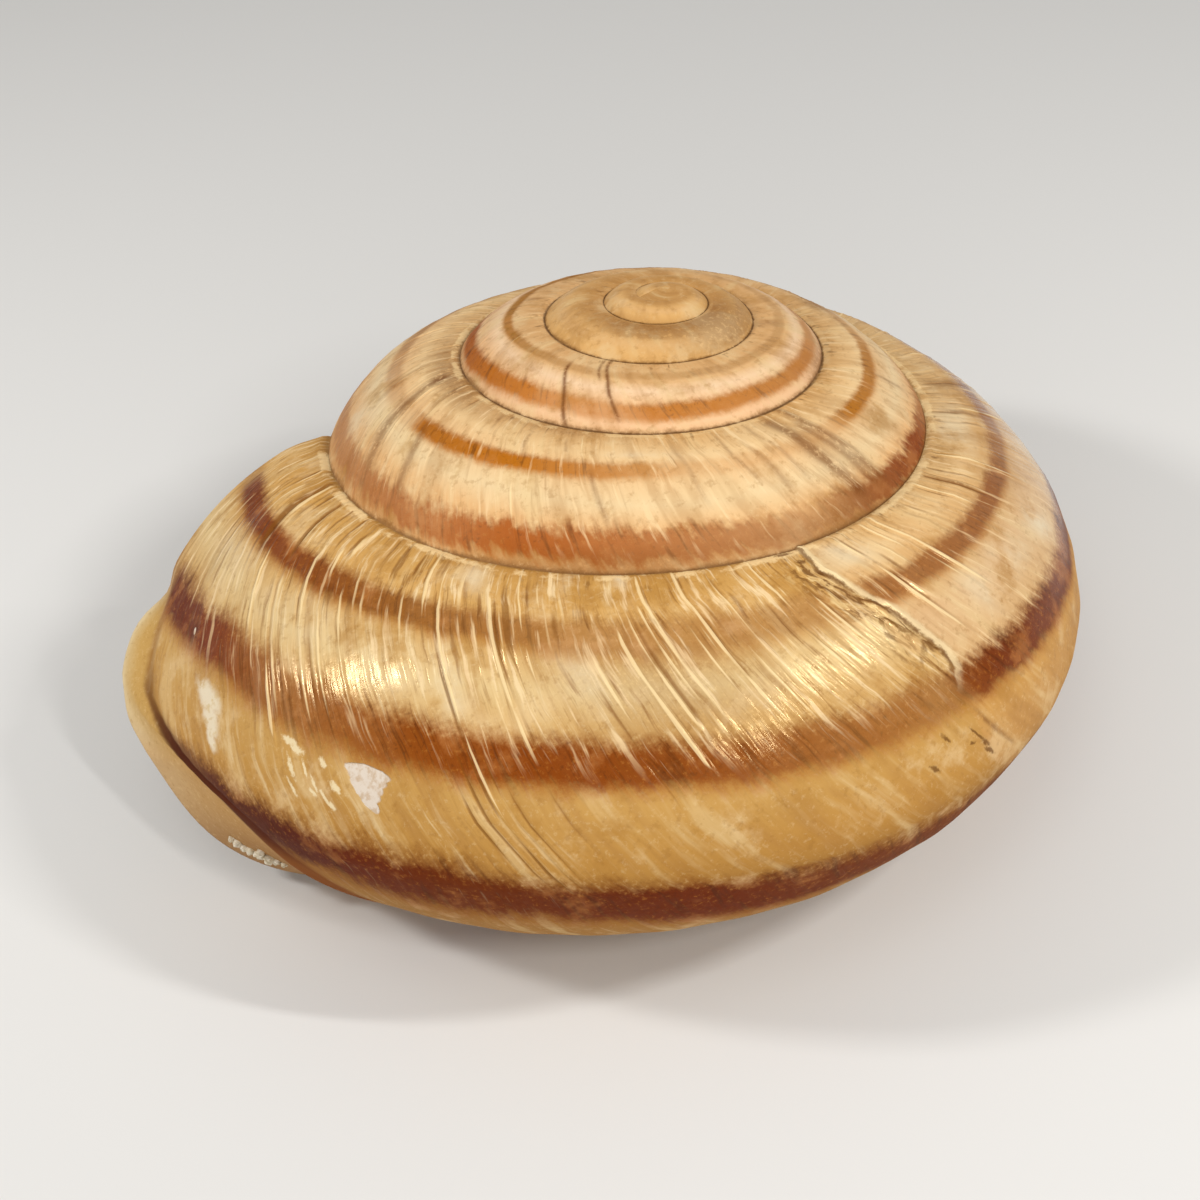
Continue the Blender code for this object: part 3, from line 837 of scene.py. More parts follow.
    def rim(self, outside_rows, inside_rows, profile):
        """The lip's rounded rim: its faces, and its rings of notes from the outer edge to the inner one."""
        outside = [row[LINES] for row in outside_rows]
        inside = [row[LINES] for row in inside_rows]
        behind = [row[max(line for line in row if line <= LINES - RIM_ROOM)] for row in outside_rows]
        outer = self.places(outside)
        forward = outer - self.places(behind)
        across = self.places(inside) - outer
        width = np.linalg.norm(across, axis=1)[:, None]
        across_unit = across / width
        forward -= (forward * across_unit).sum(1)[:, None] * across_unit
        forward /= np.linalg.norm(forward, axis=1)[:, None]
        rings = [outside]
        for ring in range(1, RIM_RINGS):
            turn = math.pi * ring / RIM_RINGS
            place = outer + across * (1 - math.cos(turn)) / 2 + forward * width * 0.5 * math.sin(turn)
            rings.append(self.sheet.mark(self.sheet.add(place), LINES, LIP_WHORL, profile,
                                         LINED * ring / RIM_RINGS, shares_of(profile)))
        rings.append(inside)
        for first, second in zip(rings, rings[1:]):
            for row in range(len(profile) - 1):
                self.sheet.face([first[row], second[row], second[row + 1], first[row + 1]], RIM)
        return rings

    def close_ends(self, exposed, covered, funnel):
        """Closes the hollow's blind end, the apex and the top of the funnel."""
        first = self.hollow_first
        blind = [row[first - COLUMNS] for row in covered]
        blind += [row[first] for row in self.hollow_rows[-2:0:-1]]
        self.fan(blind + blind[:1], self.places(blind).mean(0), 1)
        for rows, names, sign in ((exposed, exposed[0], 1), (funnel[::-1], funnel[-1], -1)):
            rim = [names[line] for line in names if line <= COLUMNS]
            heights = self.places(rim)[:, 2]
            loop = rim[:-1]
            self.fan(loop[::-1] + loop[-1:], (0, 0, heights.max() if sign > 0 else heights.min()), sign)
            self.sheet.face(([row[0] for row in rows[:-1]] + [rim[-1], loop[-1]])[::sign], ENDS)

    def fan(self, rim, middle, sign):
        """Closes a rim with triangles that meet in its middle."""
        point = self.sheet.add(np.array([middle]))
        note = self.sheet.mark(point, 0, 0.0, 90.0, BARE, 0.0)[0]
        for first, second in zip(rim, rim[1:]):
            self.sheet.face([first, second, note][::sign], ENDS)


# The unrolled map by strip and period: lowest place on the map, its height, and what part of the profile
# it holds
MAP_ROWS = (
    ((0.0, 0.42, 0, 1), (0.43, 0.1, 0, 0.34), (0.54, 0.06, 0, 0.34), (0.61, 0.04, 0, 0.34),
     (0.655, 0.025, 0, 0.34), (0.685, 0.015, 0, 0.34)),
    ((0.0, 0.42, 0, 1), (0.86, 0.04, 0.2, 0.9), (0.905, 0.015, 0.2, 0.9), (0.925, 0.01, 0.2, 0.9),
     (0.94, 0.01, 0.2, 0.9), (0.94, 0.01, 0.2, 0.9)),
    ((0.0, 0.42, 0, 1), (0.955, 0.006, 0.75, 1), (0.963, 0.005, 0.75, 1), (0.97, 0.004, 0.75, 1),
     (0.976, 0.004, 0.75, 1), (0.982, 0.004, 0.75, 1)),
    ((0.71, 0.08, 0, 1), (0.795, 0.025, 0, 1), (0.825, 0.015, 0, 1), (0.845, 0.01, 0, 1)))
RIM_ROWS = (0.988, 0.993)   # the rim's outer and inner edge on the map
ENDS_ROW = 0.997


def corner_notes(sheet):
    """For every corner of every face: its note, its face's strip, and its face's period back from the lip."""
    sizes = np.array([len(face) for face in sheet.faces])
    corners = np.concatenate([np.array(face) for face in sheet.faces])
    starts = np.concatenate([[0], np.cumsum(sizes)[:-1]])
    notes = np.concatenate(sheet.notes)[corners]
    latest = np.maximum.reduceat(notes[:, LINE], starts)
    periods = ((LINES - latest) // COLUMNS).astype(int)
    return corners, sizes, starts, notes, np.repeat(np.array(sheet.strips), sizes), np.repeat(periods, sizes)


def unrolled_map(notes, strips, periods):
    """A place for every corner on a flat map, where the tube is unrolled period by period."""
    across = (notes[:, LINE] - (LINES - (periods + 1) * COLUMNS)) / COLUMNS
    level = notes[:, LEVEL]
    down = np.zeros(len(notes))
    for strip, rows in enumerate(MAP_ROWS):
        for period, (lowest, height, first, last) in enumerate(rows):
            chosen = (strips == strip) & (np.minimum(periods, len(rows) - 1) == period)
            part = np.clip((level[chosen] - first) / (last - first), 0, 1)
            down[chosen] = lowest + height * part
    rim = strips == RIM
    across[rim] = level[rim]
    down[rim] = mix(*RIM_ROWS, notes[rim, CALLUS] / LINED)
    ends = strips == ENDS
    across[ends] = 0.5 + 0.4 * np.cos(notes[ends, LINE])
    down[ends] = ENDS_ROW + 0.002 * np.sin(notes[ends, LINE])
    return np.stack([np.clip(across, 0.001, 0.999), down], -1)


def marked(growth, angle, marks):
    """How strongly a place is marked, from 0 to 1, by marks that each follow a growth line."""
    total = np.zeros(len(growth))
    for whorl, half_width, depth, head, foot in marks:
        wavy = 0.0009 * np.sin(angle / 5 + 90 * whorl)
        window = smooth((angle - foot) / 8) * smooth((head - angle) / 8)
        total += depth * bell(growth - whorl - wavy, 0, half_width) * window
    return np.minimum(total, 1)


def rim_part(even, angle):
    """How far a place is from the back of the lip's rim, 0, to its edge, 1."""
    return rim_distance(even, angle) / ((LIP_WHORL - course(angle, RIM_BACK)) * TURN_AT_BREAK)


# Bands by name: middle, half width and depth
BANDS = {"upper": (UPPER_BAND, UPPER_SPREAD, UPPER_DEPTH),
         "middle": (MIDDLE_BAND, MIDDLE_SPREAD, MIDDLE_DEPTH),
         "lower": (LOWER_BAND, LOWER_SPREAD, LOWER_DEPTH)}
FAR = 9                     # millimetres, for a place that no suture is near


def surface_fields(notes, strips, growth_law):
    """What the material reads at each corner: names and numbers."""
    line, growth, angle, callus, _ = notes.T
    step = 2 * math.pi * tube_size(growth_law.lines)[0] * np.gradient(growth_law.lines) / MM
    travelled = np.cumsum(step)
    along = np.interp(line, np.arange(LINES + 1), travelled - travelled[-1])
    size = tube_size(growth)[0] / BODY_RADIUS
    top = growth_law.top[line.astype(int)]
    following = np.minimum(line.astype(int) + COLUMNS, LINES)
    tip = FAR * smooth((0.6 - growth) / 0.3)
    below = depth_below(top, angle, size) + tip
    above = depth_below(angle, growth_law.top_on[following], size) + tip
    above = np.where((line <= HELD) & (strips == OUTSIDE), above, FAR)
    even = growth + lean(growth, angle)
    fields = {
        "growth": growth,
        "even": even,
        "angle": angle,
        "along": along,
        "below_suture": below,
        "above_suture": above,
        "callus": callus,
        "past_break": past_break(even, angle),
        "rim": rim_distance(even, angle),
        "rim_part": rim_part(even, angle),
        "stain": marked(growth, angle, STAINS),
        # pale places: bleached shell and painted sheen and highlight
        "bleach_and_sheen": marked(even, angle, PALE_AND_SHEEN_PATCHES),
    }
    for name, (middle, spread, depth) in BANDS.items():
        fields[name + "_band"] = (angle - course(even, middle)) / course(even, spread)
        fields[name + "_depth"] = course(even, depth)
    return fields


def ridge_field(shell):
    """Height of the growth ridges at every note, in hundredths of a millimetre, row by row."""
    values = []
    for notes in shell.sheet.notes:
        growth, angle = notes[:, GROWTH], notes[:, ANGLE]
        order = np.argsort(growth, kind="stable")
        line = notes[order, LINE].astype(int)
        raised = np.zeros(len(notes))
        raised[order] = growth_ridges(growth[order], angle[order], shell.growth.top[line])
        values.append(raised / (0.01 * MM))
    return np.concatenate(values)


def lie_down(points):
    """Turns the shell the way it rests, into the box of the CAD shell."""
    turn = Matrix.Identity(3)
    for degrees, axis in REST_TURNS:
        turn = Matrix.Rotation(math.radians(degrees), 3, axis) @ turn
    turned = points @ np.array(turn).T
    low = turned.min(axis=0)
    high = turned.max(axis=0)
    lowest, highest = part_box("shell")
    middle = (np.array(lowest) + np.array(highest)) / 2
    shift = middle - (low + high) / 2
    shift[2] = lowest.z - low[2]
    return turned + shift


def make_shell():
    """The shell's finished surface. It is built from its growth law, because no spin or extrude grows."""
    shell = Shell()
    sheet = shell.build()
    corners, sizes, starts, notes, strips, periods = corner_notes(sheet)
    vertex = np.concatenate(sheet.vertex)[corners]
    points = lie_down(np.concatenate(sheet.points))
    mesh = bpy.data.meshes.new("snail_shell")
    faces = np.split(vertex, starts[1:])
    mesh.from_pydata(points.tolist(), [], [face.tolist() for face in faces])
    fields = surface_fields(notes, strips, shell.growth)
    fields["ridge"] = ridge_field(shell)[corners]
    for name, values in fields.items():
        layer = mesh.attributes.new(name, "FLOAT", "CORNER")
        layer.data.foreach_set("value", values.astype(np.float32))
    layer = mesh.uv_layers.new(name="OFBake")
    layer.uv.foreach_set("vector", unrolled_map(notes, strips, periods).astype(np.float32).ravel())
    mesh.shade_smooth()
    piece = bpy.data.objects.new("snail_shell", mesh)
    bpy.context.scene.collection.objects.link(piece)
    return piece


def colour(code):
    """Linear colour of an sRGB hex code."""
    parts = [int(code[place:place + 2], 16) / 255 for place in (1, 3, 5)]
    return (*(part / 12.92 if part <= 0.04045 else ((part + 0.055) / 1.055) ** 2.4 for part in parts), 1.0)


def add(tree, kind, inputs=None, output=0, **settings):
    """Adds a node with its settings and links, and returns one of its outputs."""
    node = tree.nodes.new("ShaderNode" + kind)
    for name, value in settings.items():
        setattr(node, name, value)
    for name, value in (inputs or {}).items():
        if isinstance(value, bpy.types.NodeSocket):
            tree.links.new(value, node.inputs[name])
        elif isinstance(value, str):
            node.inputs[name].default_value = colour(value)
        else:
            node.inputs[name].default_value = value
    return node.outputs[output]


def ramp(tree, value, stops):
    """Adds a Color Ramp with stops of (place, hex colour)."""
    output = add(tree, "ValToRGB", {0: value})
    elements = output.node.color_ramp.elements
    while len(elements) < len(stops):
        elements.new(0.5)
    for element, (place, shade) in zip(elements, stops):
        element.position = place
        element.color = colour(shade)
    return output


FIELDS = ("growth", "even", "angle", "along", "below_suture", "above_suture", "callus", "ridge", "past_break",
          "rim", "rim_part", "stain", "bleach_and_sheen",
          *(band + part for band in BANDS for part in ("_band", "_depth")))

# Ground colours up from the base to the suture, as (angle, colour), oldest growth first
GROUNDS = (
    ((45, "#C8985A"), (62, "#D8A868"), (75, "#D8AA70"), (90, "#D4A466"), (110, "#C08E52")),
    ((45, "#CE9E66"), (55, "#EBBD90"), (68, "#E2B07C"), (80, "#ECC79E"), (90, "#DCAE78"), (110, "#D4A46C")),
    ((40, "#CC9860"), (55, "#E0B078"), (65, "#E6C898"), (80, "#E4B882"), (92, "#E6C08A"), (110, "#D0A064")),
    ((-110, "#BC8E60"), (-20, "#AC7C44"), (20, "#C08E50"), (34, "#C6934E"), (54, "#D6AE7C"), (64, "#D8B080"),
     (75, "#CA9A60"), (90, "#DCB27A"), (110, "#D0A468")),
    ((-110, "#B68A54"), (-40, "#A5763A"), (0, "#A67434"), (20, "#BC8A44"), (36, "#C29450"), (54, "#CDA264"),
     (64, "#DBBB84"), (76, "#CFA262"), (90, "#CE9E5A"), (100, "#C79650"), (110, "#AE7C3C")))
ZONES = ((2.2, 2.5), (3.35, 3.6), (4.12, 4.35))       # whorls over which one ground turns into the next

# Band colours by whorl
BAND_COLOURS = {
    "upper": (
        (2.5, "#9C6C34"), (3.1, "#9C6414"), (3.65, "#A86610"), (3.95, "#B4680C"), (4.2, "#985C28"),
        (4.68, "#8C5026"), (4.76, "#925626"), (4.85, "#945A22"), (4.92, "#92561E"), (4.96, "#8A5018"),
        (5.0, "#844410"), (5.04, "#803E16"), (5.08, "#74361A"), (5.1, "#7C4A38")),
    "middle": (
        (2.5, "#A2621A"), (3.0, "#B8680A"), (3.15, "#A05006"), (3.6, "#A8642A"), (3.7, "#803404"),
        (3.82, "#9C5A2C"), (3.95, "#A8520E"), (4.2, "#985C34"), (4.66, "#6C2E0C"), (4.76, "#702F0A"),
        (4.8, "#92501A"), (4.88, "#823A04"), (4.92, "#823A06"), (4.98, "#8C4812"), (5.03, "#8A400C"),
        (5.06, "#70240A"), (5.08, "#601C0A")),
    "lower": (
        (2.5, "#6A2C06"), (4.8, "#702C00"), (4.9, "#6A2200"), (4.98, "#6C2800"), (5.02, "#621C00"),
        (5.045, "#4A100A"), (5.07, "#5C2E1E"), (5.1, "#7C4A30")),
}
# From the back of the lip's rim to its edge: darker at the back by the furrow, part painted shade, paler
# towards the edge
RIM_COLOURS_AND_SHADE = ((0.0, "#996832"), (0.1, "#AB7C42"), (0.3, "#C09652"), (0.55, "#C29A58"), (0.8, "#CDAE78"),
               (1.0, "#DEC99E"))
LIMESTONE_IOR = 1.53
GROWTH_SPAN = 5.2           # whorls, angles and so on are brought to 0..1 for the ramps
ANGLE_SPAN = (-120, 120)

# Ovals on the even growth law: whorl and angle of the middle, half width in turns, half height in degrees
WHITE_FLAKES = (
    (4.9695, 37.6, .0078, 2.0), (4.9706, 36, .0068, 2.2), (4.9715, 34.6, .0058, 2.8),
    (4.9723, 32.8, .0043, 3.2), (4.973, 31, .0028, 4.4), (5.057, 47.5, .0007, .9))
# A pale patch near the lip: part flake, part painted fading glint
PALE_FLAKE_AND_GLINT = (
    (5.0405, 37, .0072, 3.2), (5.0395, 32, .0046, 4.6), (5.041, 27.5, .0024, 3.6))
CHIPS = (
    (4.9985, 38.8, .003, 1.1), (4.996, 37.5, .0026, 1.2), (4.9945, 33.5, .0007, 2.4),
    (4.9925, 30, .0007, 2.4), (4.9905, 26.8, .0008, 2.2), (4.9862, 36.8, .0013, 1.4),
    (4.9838, 31.3, .0019, 1.6), (4.9945, 27.1, .0012, 1.1), (4.9895, 25, .0013, 1.3), (5.0005, 32, .001, 3.0),
    (5.0035, 26, .0008, 2.6))
SCARS = (
    (4.7722, 65.6, .0026, 3.0), (4.7712, 60.2, .0042, 4.6))
DARK_CRACKS = (
    (4.7801, 26.5, .0007, 4.2), (4.7806, 21.6, .0013, 2.2), (4.7822, 17.6, .0012, 2.6),
    (4.7842, 24.5, .0014, .8), (4.79, 31.5, .0011, 1.9), (4.8024, 23, .0013, 2.2), (4.7795, 104, .005, 1.1),
    (4.7865, 106.5, .006, 1.3), (4.7945, 108, .004, 1.0), (4.776, 99, .0025, 1.4))


def angle_part(angle):
    return (angle - ANGLE_SPAN[0]) / (ANGLE_SPAN[1] - ANGLE_SPAN[0])


def oval(tree, field, torn, place):
    """Distance from an oval's middle, 1 at its ragged edge."""
    whorl, angle, half_width, half_height = place
    across = add(tree, "MapRange", {0: field["even"], 1: whorl, 2: whorl + half_width}, clamp=False)
    down = add(tree, "MapRange", {0: field["angle"], 1: angle, 2: angle + half_height}, clamp=False)
    point = add(tree, "CombineXYZ", {0: across, 1: down})
    point = add(tree, "VectorMath", {0: point, 1: torn}, operation="ADD")
    return add(tree, "VectorMath", {0: point}, output=1, operation="LENGTH")


def nearest_oval(tree, field, torn, places):
    """Distance from the nearest of several ovals, 1 at their ragged edges."""
    nearest = 9.0
    for place in places:
        distance = oval(tree, field, torn, place)
        nearest = add(tree, "Math", {0: nearest, 1: distance}, operation="MINIMUM")
    return nearest


def new_material(name):
    """A material, its node tree and its shader node."""
    material = bpy.data.materials.new(name)
    material.use_nodes = True
    return material, material.node_tree, material.node_tree.nodes["Principled BSDF"]


def noise(tree, place, scale, detail, roughness=0.5, output=0):
    """Adds a noise and returns its value, or its colour as output 1."""
    settings = {"Vector": place, "Scale": scale, "Detail": detail, "Roughness": roughness}
    return add(tree, "TexNoise", settings, output)


def folded(tree, operation, first, *others):
    """Values joined one after another by a sum, a product and so on."""
    for other in others:
        first = add(tree, "Math", {0: first, 1: other}, operation=operation)
    return first


def worn_shell():
    """Aged snail shell: limestone with what is left of its thin horny skin.

    Waxy gloss where the skin is whole; crests pale, part rubbed chalk and part painted highlight;
    grooves brown, part grime and part painted shade.
    """
    material, tree, shader = new_material("worn_snail_shell")
    field = {name: add(tree, "Attribute", output=2, attribute_name=name) for name in FIELDS}
    growth, angle, past, ridge, callus = (
        field[name] for name in ("growth", "angle", "past_break", "ridge", "callus"))
    growth_place = add(tree, "Math", {0: growth, 1: GROWTH_SPAN}, operation="DIVIDE")
    angle_place = add(tree, "MapRange", {0: angle, 1: ANGLE_SPAN[0], 2: ANGLE_SPAN[1]})

    def painted(surface, *coats):
        """Coats of (colour, how much of it covers) laid over a surface, one after another."""
        for shade, cover in coats:
            surface = add(tree, "Mix", {0: cover, 6: surface, 7: shade}, output=2, data_type="RGBA")
        return surface

    def between(value, low, high, most=1.0, least=0.0):
        """A smooth rise from least to most while a value goes from low to high."""
        return add(tree, "MapRange", {0: value, 1: low, 2: high, 3: least, 4: most},
                   interpolation_type="SMOOTHSTEP")

    def swing(spots, reach):
        """A noise's swing, so much either way."""
        return add(tree, "MapRange", {0: spots, 1: 0.3, 2: 0.7, 3: -reach, 4: reach}, clamp=False)

    def product(*values):
        return folded(tree, "MULTIPLY", *values)

    def total(*values):
        return folded(tree, "ADD", *values)

    # Unevenness of the skin, and the ragged edges of whatever has worn off
    place = add(tree, "TexCoord", output=3)
    mottle = noise(tree, place, 520.0, 5.0, 0.62)
    speckle = noise(tree, place, 3000.0, 3.0, 0.65)
    crumb = noise(tree, place, 5200.0, 4.0, 0.7)
    wander = noise(tree, place, 700.0, 1.0)
    torn, frayed = (add(tree, "VectorMath", {0: noise(tree, place, scale, 4.0, 0.68, output=1),
                                             1: (reach, reach, 0), 2: (-reach / 2, -reach / 2, 0)},
                        operation="MULTIPLY_ADD") for scale, reach in ((1500.0, 1.5), (5200.0, 2.6)))

    # Streaks that follow the growth lines: how many to a millimetre of growth, and of depth below the suture
    streaks = []
    wandering = total(field["along"], swing(wander, 0.07))
    for along, down, detail in ((6.5, 0.6, 2.0), (2.6, 0.32, 3.0), (0.8, 0.16, 3.0), (2.3, 0.9, 2.0)):
        deep = product(field["below_suture"], down)
        grain = add(tree, "CombineXYZ", {0: product(wandering, along), 1: deep, 2: callus})
        streaks.append(noise(tree, grain, 1.0, detail, 0.6))
    hair, fine, broad, slit = streaks

    # How streaky the skin is: strong on the new shell's shoulder, faint at the tip, the sides and the base
    streaky = total(between(growth, 2.3, 3.6, 0.35), between(past, -0.2, 0.2, 0.65))
    near_seam = product(between(field["below_suture"], 1.5, 0.4, 0.3), between(growth, 2.6, 3.6))
    streaky = add(tree, "Math", {0: streaky, 1: near_seam}, operation="ADD", use_clamp=True)
    low = between(growth, 4.9, 4.98, 0.45, 0.18)
    streaky = product(streaky, between(broad, 0.36, 0.6, 1.0, 0.4), between(angle, 34, 50, 1.0, low))

    # The ground colour
    grounds = [ramp(tree, angle_place, [(angle_part(stop), shade) for stop, shade in stops])
               for stops in GROUNDS]
    wobble = add(tree, "MapRange", {0: broad, 3: -0.12, 4: 0.12})
    place_in_zone = total(growth, wobble)
    surface = painted(
        grounds[0],
        *((ground, between(place_in_zone, first, last)) for (first, last), ground in zip(ZONES, grounds[1:])),
        (grounds[-1], between(past, -0.04, 0.04)),
        ("#A4723A", between(broad, 0.5, 0.34, 0.35)),
        ("#E2C48E", between(broad, 0.52, 0.68, 0.4)),
        ("#8C5A22", product(between(fine, 0.46, 0.32, 0.75), streaky)),
        ("#F4E0B4", product(between(fine, 0.53, 0.68, 0.65), streaky)),
        ("#E2C290", between(mottle, 0.52, 0.68, 0.5)),
        ("#A8742E", between(mottle, 0.47, 0.3, 0.5)),
        ("#96652A", between(speckle, 0.46, 0.3, 0.3)),
        ("#F0D8A8", between(crumb, 0.54, 0.7, 0.18)),
        # Pale places: bleached shell, and on the last whorl painted sheen and highlight
        ("#E6D6B4", product(field["bleach_and_sheen"], between(mottle, 0.35, 0.6))))

    # The bands: soft and streaky edges, redder above, more orange below
    jitter = total(swing(fine, 0.14), swing(mottle, 0.25), swing(crumb, 0.15))
    early = product(swing(slit, 0.4), product(between(growth, 4.3, 4.1), between(growth, 3.45, 3.65)))
    for name, stops in BAND_COLOURS.items():
        offset = total(field[name + "_band"], total(jitter, early) if name == "middle" else jitter)
        distance = add(tree, "Math", {0: offset}, operation="ABSOLUTE")
        core = painted(
            ramp(tree, growth_place, [(stop / GROWTH_SPAN, shade) for stop, shade in stops]),
            ("#8A4A14", between(offset, 0.4, 1.2, 0.4)),
            ("#B46C0E", between(offset, -0.5, -1.2, 0.55)),
            ("#B8742C", between(crumb, 0.54, 0.7, 0.4)),
            ("#3E1404", between(crumb, 0.46, 0.3, 0.4)),
            ("#451A04", between(fine, 0.47, 0.33, 0.5)),
            ("#C88244", between(mottle, 0.52, 0.66, 0.35)))
        surface = painted(surface, (core, product(between(distance, 1.55, 0.45), field[name + "_depth"])))

    # Stains and cracks are brown; crests pale, part rubbed chalk, part painted highlight; grooves brown, part
    # grime, part painted shade
    stained = product(field["stain"], between(crumb, 0.3, 0.5, 1.0, 0.3))
    crossing = product(between(growth, 3.4, 3.8, 0.5), between(angle, 40, 52))
    surface = painted(
        surface,
        ("#6A3608", product(stained, 0.85)),
        # painted highlight on the ridge crests, with rubbed chalk
        ("#F5D8A2", between(ridge, 1.3, 3.4, 0.72)),
        # painted shade in the grooves and on the dark side of each ridge, with grime
        ("#7A4814", between(ridge, -0.6, -3.2, 0.62)),
        ("#7C4A14", product(between(hair, 0.4, 0.28, 0.3), streaky)),
        ("#F6E2B4", product(between(hair, 0.62, 0.74, 0.2), streaky)),
        ("#F0CC98", product(between(fine, 0.57, 0.68), crossing)))

    # The sutures: short cracks down from them, a crumbling pale edge, painted shade on the whorl just above
    # each suture, and a dark seam line, part dark seam and part painted shade
    crumble = total(swing(crumb, 0.1), swing(mottle, 0.14))
    below = total(field["below_suture"], crumble)
    above = total(field["above_suture"], crumble)
    cracked = product(between(slit, 0.4, 0.28, 0.75), between(below, 1.2, 0.1))
    edge = product(between(below, 0.48, 0.34), between(below, 0.04, 0.12, 0.7))
    edge = product(edge, between(mottle, 0.46, 0.54), between(growth, 3.2, 4.5, 1.0, 0.15))
    surface = painted(
        surface,
        ("#6E451C", product(cracked, between(growth, 1.6, 2.2))),
        # painted shade on the whorl's lower edge, next to the suture below it
        ("#7A4C1E", product(between(above, 0.3, 0.05, 0.5), between(growth, 1.0, 1.5))),
        ("#F2D29A", edge))
    # How strong the dark seam line is: strongest on the early whorls, patchy
    seam_shade_strength = product(between(growth, 4.1, 3.6, 0.85, 0.4), between(mottle, 0.34, 0.5, 1.0, 0.45))
    # A dark line along each suture: part dark seam, part painted shade
    for side, first in (("below_suture", 1.0), ("above_suture", 0.3)):
        seam = total(field[side], product(crumble, 0.3))
        tip = between(growth, first, first + 0.3)
        surface = painted(surface, ("#4E2C0C", product(between(seam, 0.13, 0.02), tip, seam_shade_strength)))

    # The mended break: the old edge is pale and crumbly, just past it a dark line, part crack and part
    # painted shadow under the old edge's step, and the new shell beyond it brown and wrinkled
    wrinkle = add(tree, "CombineXYZ", {0: product(past, 3.0), 1: product(angle, 0.16)})
    wrinkle = add(tree, "TexNoise", {"Vector": wrinkle, "Scale": 1.0, "Detail": 4.0, "Distortion": 0.8})
    new_shell = product(between(past, 2.2, 0.7), between(past, -0.05, 0.1))
    new_shell = product(new_shell, product(between(angle, 48, 58), between(angle, 104, 96)))
    crack = total(past, product(crumble, 0.5))
    on_break = between(angle, 40, 52)
    old_edge = product(between(crack, -0.45, -0.15), between(crack, 0.06, -0.06, 0.65))
    # Just past the old edge: part crack, part painted shadow under its step
    crack_and_shadow = product(between(crack, 0.24, 0.06), between(crack, -0.07, 0.03, 0.8))
    crack_and_shadow = product(crack_and_shadow, between(mottle, 0.38, 0.56, 0.9, 0.1))
    scar = total(nearest_oval(tree, field, torn, SCARS), -1.0)
    scar_line = add(tree, "Math", {0: scar}, operation="ABSOLUTE")
    surface = painted(
        surface,
        ("#6A3E12", product(between(wrinkle, 0.5, 0.38, 0.8), new_shell)),
        ("#EBCB8E", product(between(wrinkle, 0.55, 0.66, 0.7), new_shell)),
        ("#F0D8A8", product(old_edge, on_break)),
        # painted shadow under the old edge, with the crack
        ("#5A2E08", product(crack_and_shadow, on_break)),
        ("#D9AC70", between(scar, 0.1, -0.3, 0.5)),
        ("#7A4E1A", product(between(scar_line, 0.36, 0.05, 0.75), between(mottle, 0.42, 0.54))),
        ("#5E3208", between(nearest_oval(tree, field, frayed, DARK_CRACKS), 1.2, 0.4, 0.75)),
        ("#F0DDB2", between(nearest_oval(tree, field, frayed, CHIPS), 1.3, 0.5, 0.8)))

    # The lip: a brown line, the pale rim beyond it with painted shade darkening it towards the furrow, and a
    # dark wine brown that fills the furrow and covers both
    blur = swing(mottle, 0.14)
    rim = total(field["rim"], blur)
    side = add(tree, "MapRange", {0: rim, 1: -1.5, 2: -0.2})
    reach = between(angle, 22, 4, 2.4, 0.5)
    furrow = product(side, side, between(rim, reach, product(reach, 0.4)))
    furrow = product(furrow, product(between(angle, 34, 12), between(growth, 5.02, 5.035)))
    line = product(between(rim, 0.5, 0.1), between(rim, -0.35, 0.0, 0.5))
    stripe = painted(
        # the rim's colours, darkened towards the furrow as painted shade
        ramp(tree, total(field["rim_part"], product(blur, 0.5)), RIM_COLOURS_AND_SHADE),
        ("#BC8C58", between(angle, 20, -4, 0.6)),
        ("#96683E", between(angle, -4, -22, 0.7)),
        ("#E0C290", between(crumb, 0.54, 0.7, 0.35)),
        ("#9C6E34", between(crumb, 0.46, 0.3, 0.4)))
    merging = product(between(angle, 4, -12), 1.8)
    on_rim = add(tree, "MapRange", {0: field["rim"], 1: 0.08, 2: total(merging, 0.3), 4: 0.9},
                 interpolation_type="SMOOTHSTEP")
    # Dark wine brown, darkest in the furrow behind the rim
    furrow_brown = painted("#441008", ("#4E1202", between(angle, 14, 2)), ("#84481A", between(angle, -3, -14)))
    surface = painted(
        surface,
        ("#8A5A22", product(line, between(angle, 48, 36))),
        (stripe, product(on_rim, between(angle, 47, 37))),
        (furrow_brown, product(furrow, 0.96)),
        ("#D9BC94", between(callus, 0.3, 1.6, 0.8)))

    # Flakes lost from the skin; the pale patch near the lip is part flake and part painted fading glint
    nibbled = add(tree, "VectorMath", {0: torn, 1: (0.4, 0.4, 0)}, operation="MULTIPLY")
    white = between(nearest_oval(tree, field, nibbled, WHITE_FLAKES), 1.06, 0.92)
    cream = between(nearest_oval(tree, field, torn, PALE_FLAKE_AND_GLINT), 1.5, 0.5, 0.85)
    surface = painted(
        surface,
        # the pale patch near the lip: part flake, part painted fading glint
        (painted("#EADCC0", ("#DCC69C", between(speckle, 0.48, 0.66))), cream),
        (painted("#DCCDBC", ("#C9B095", between(speckle, 0.45, 0.65))), white))
    tree.links.new(surface, shader.inputs["Base Color"])

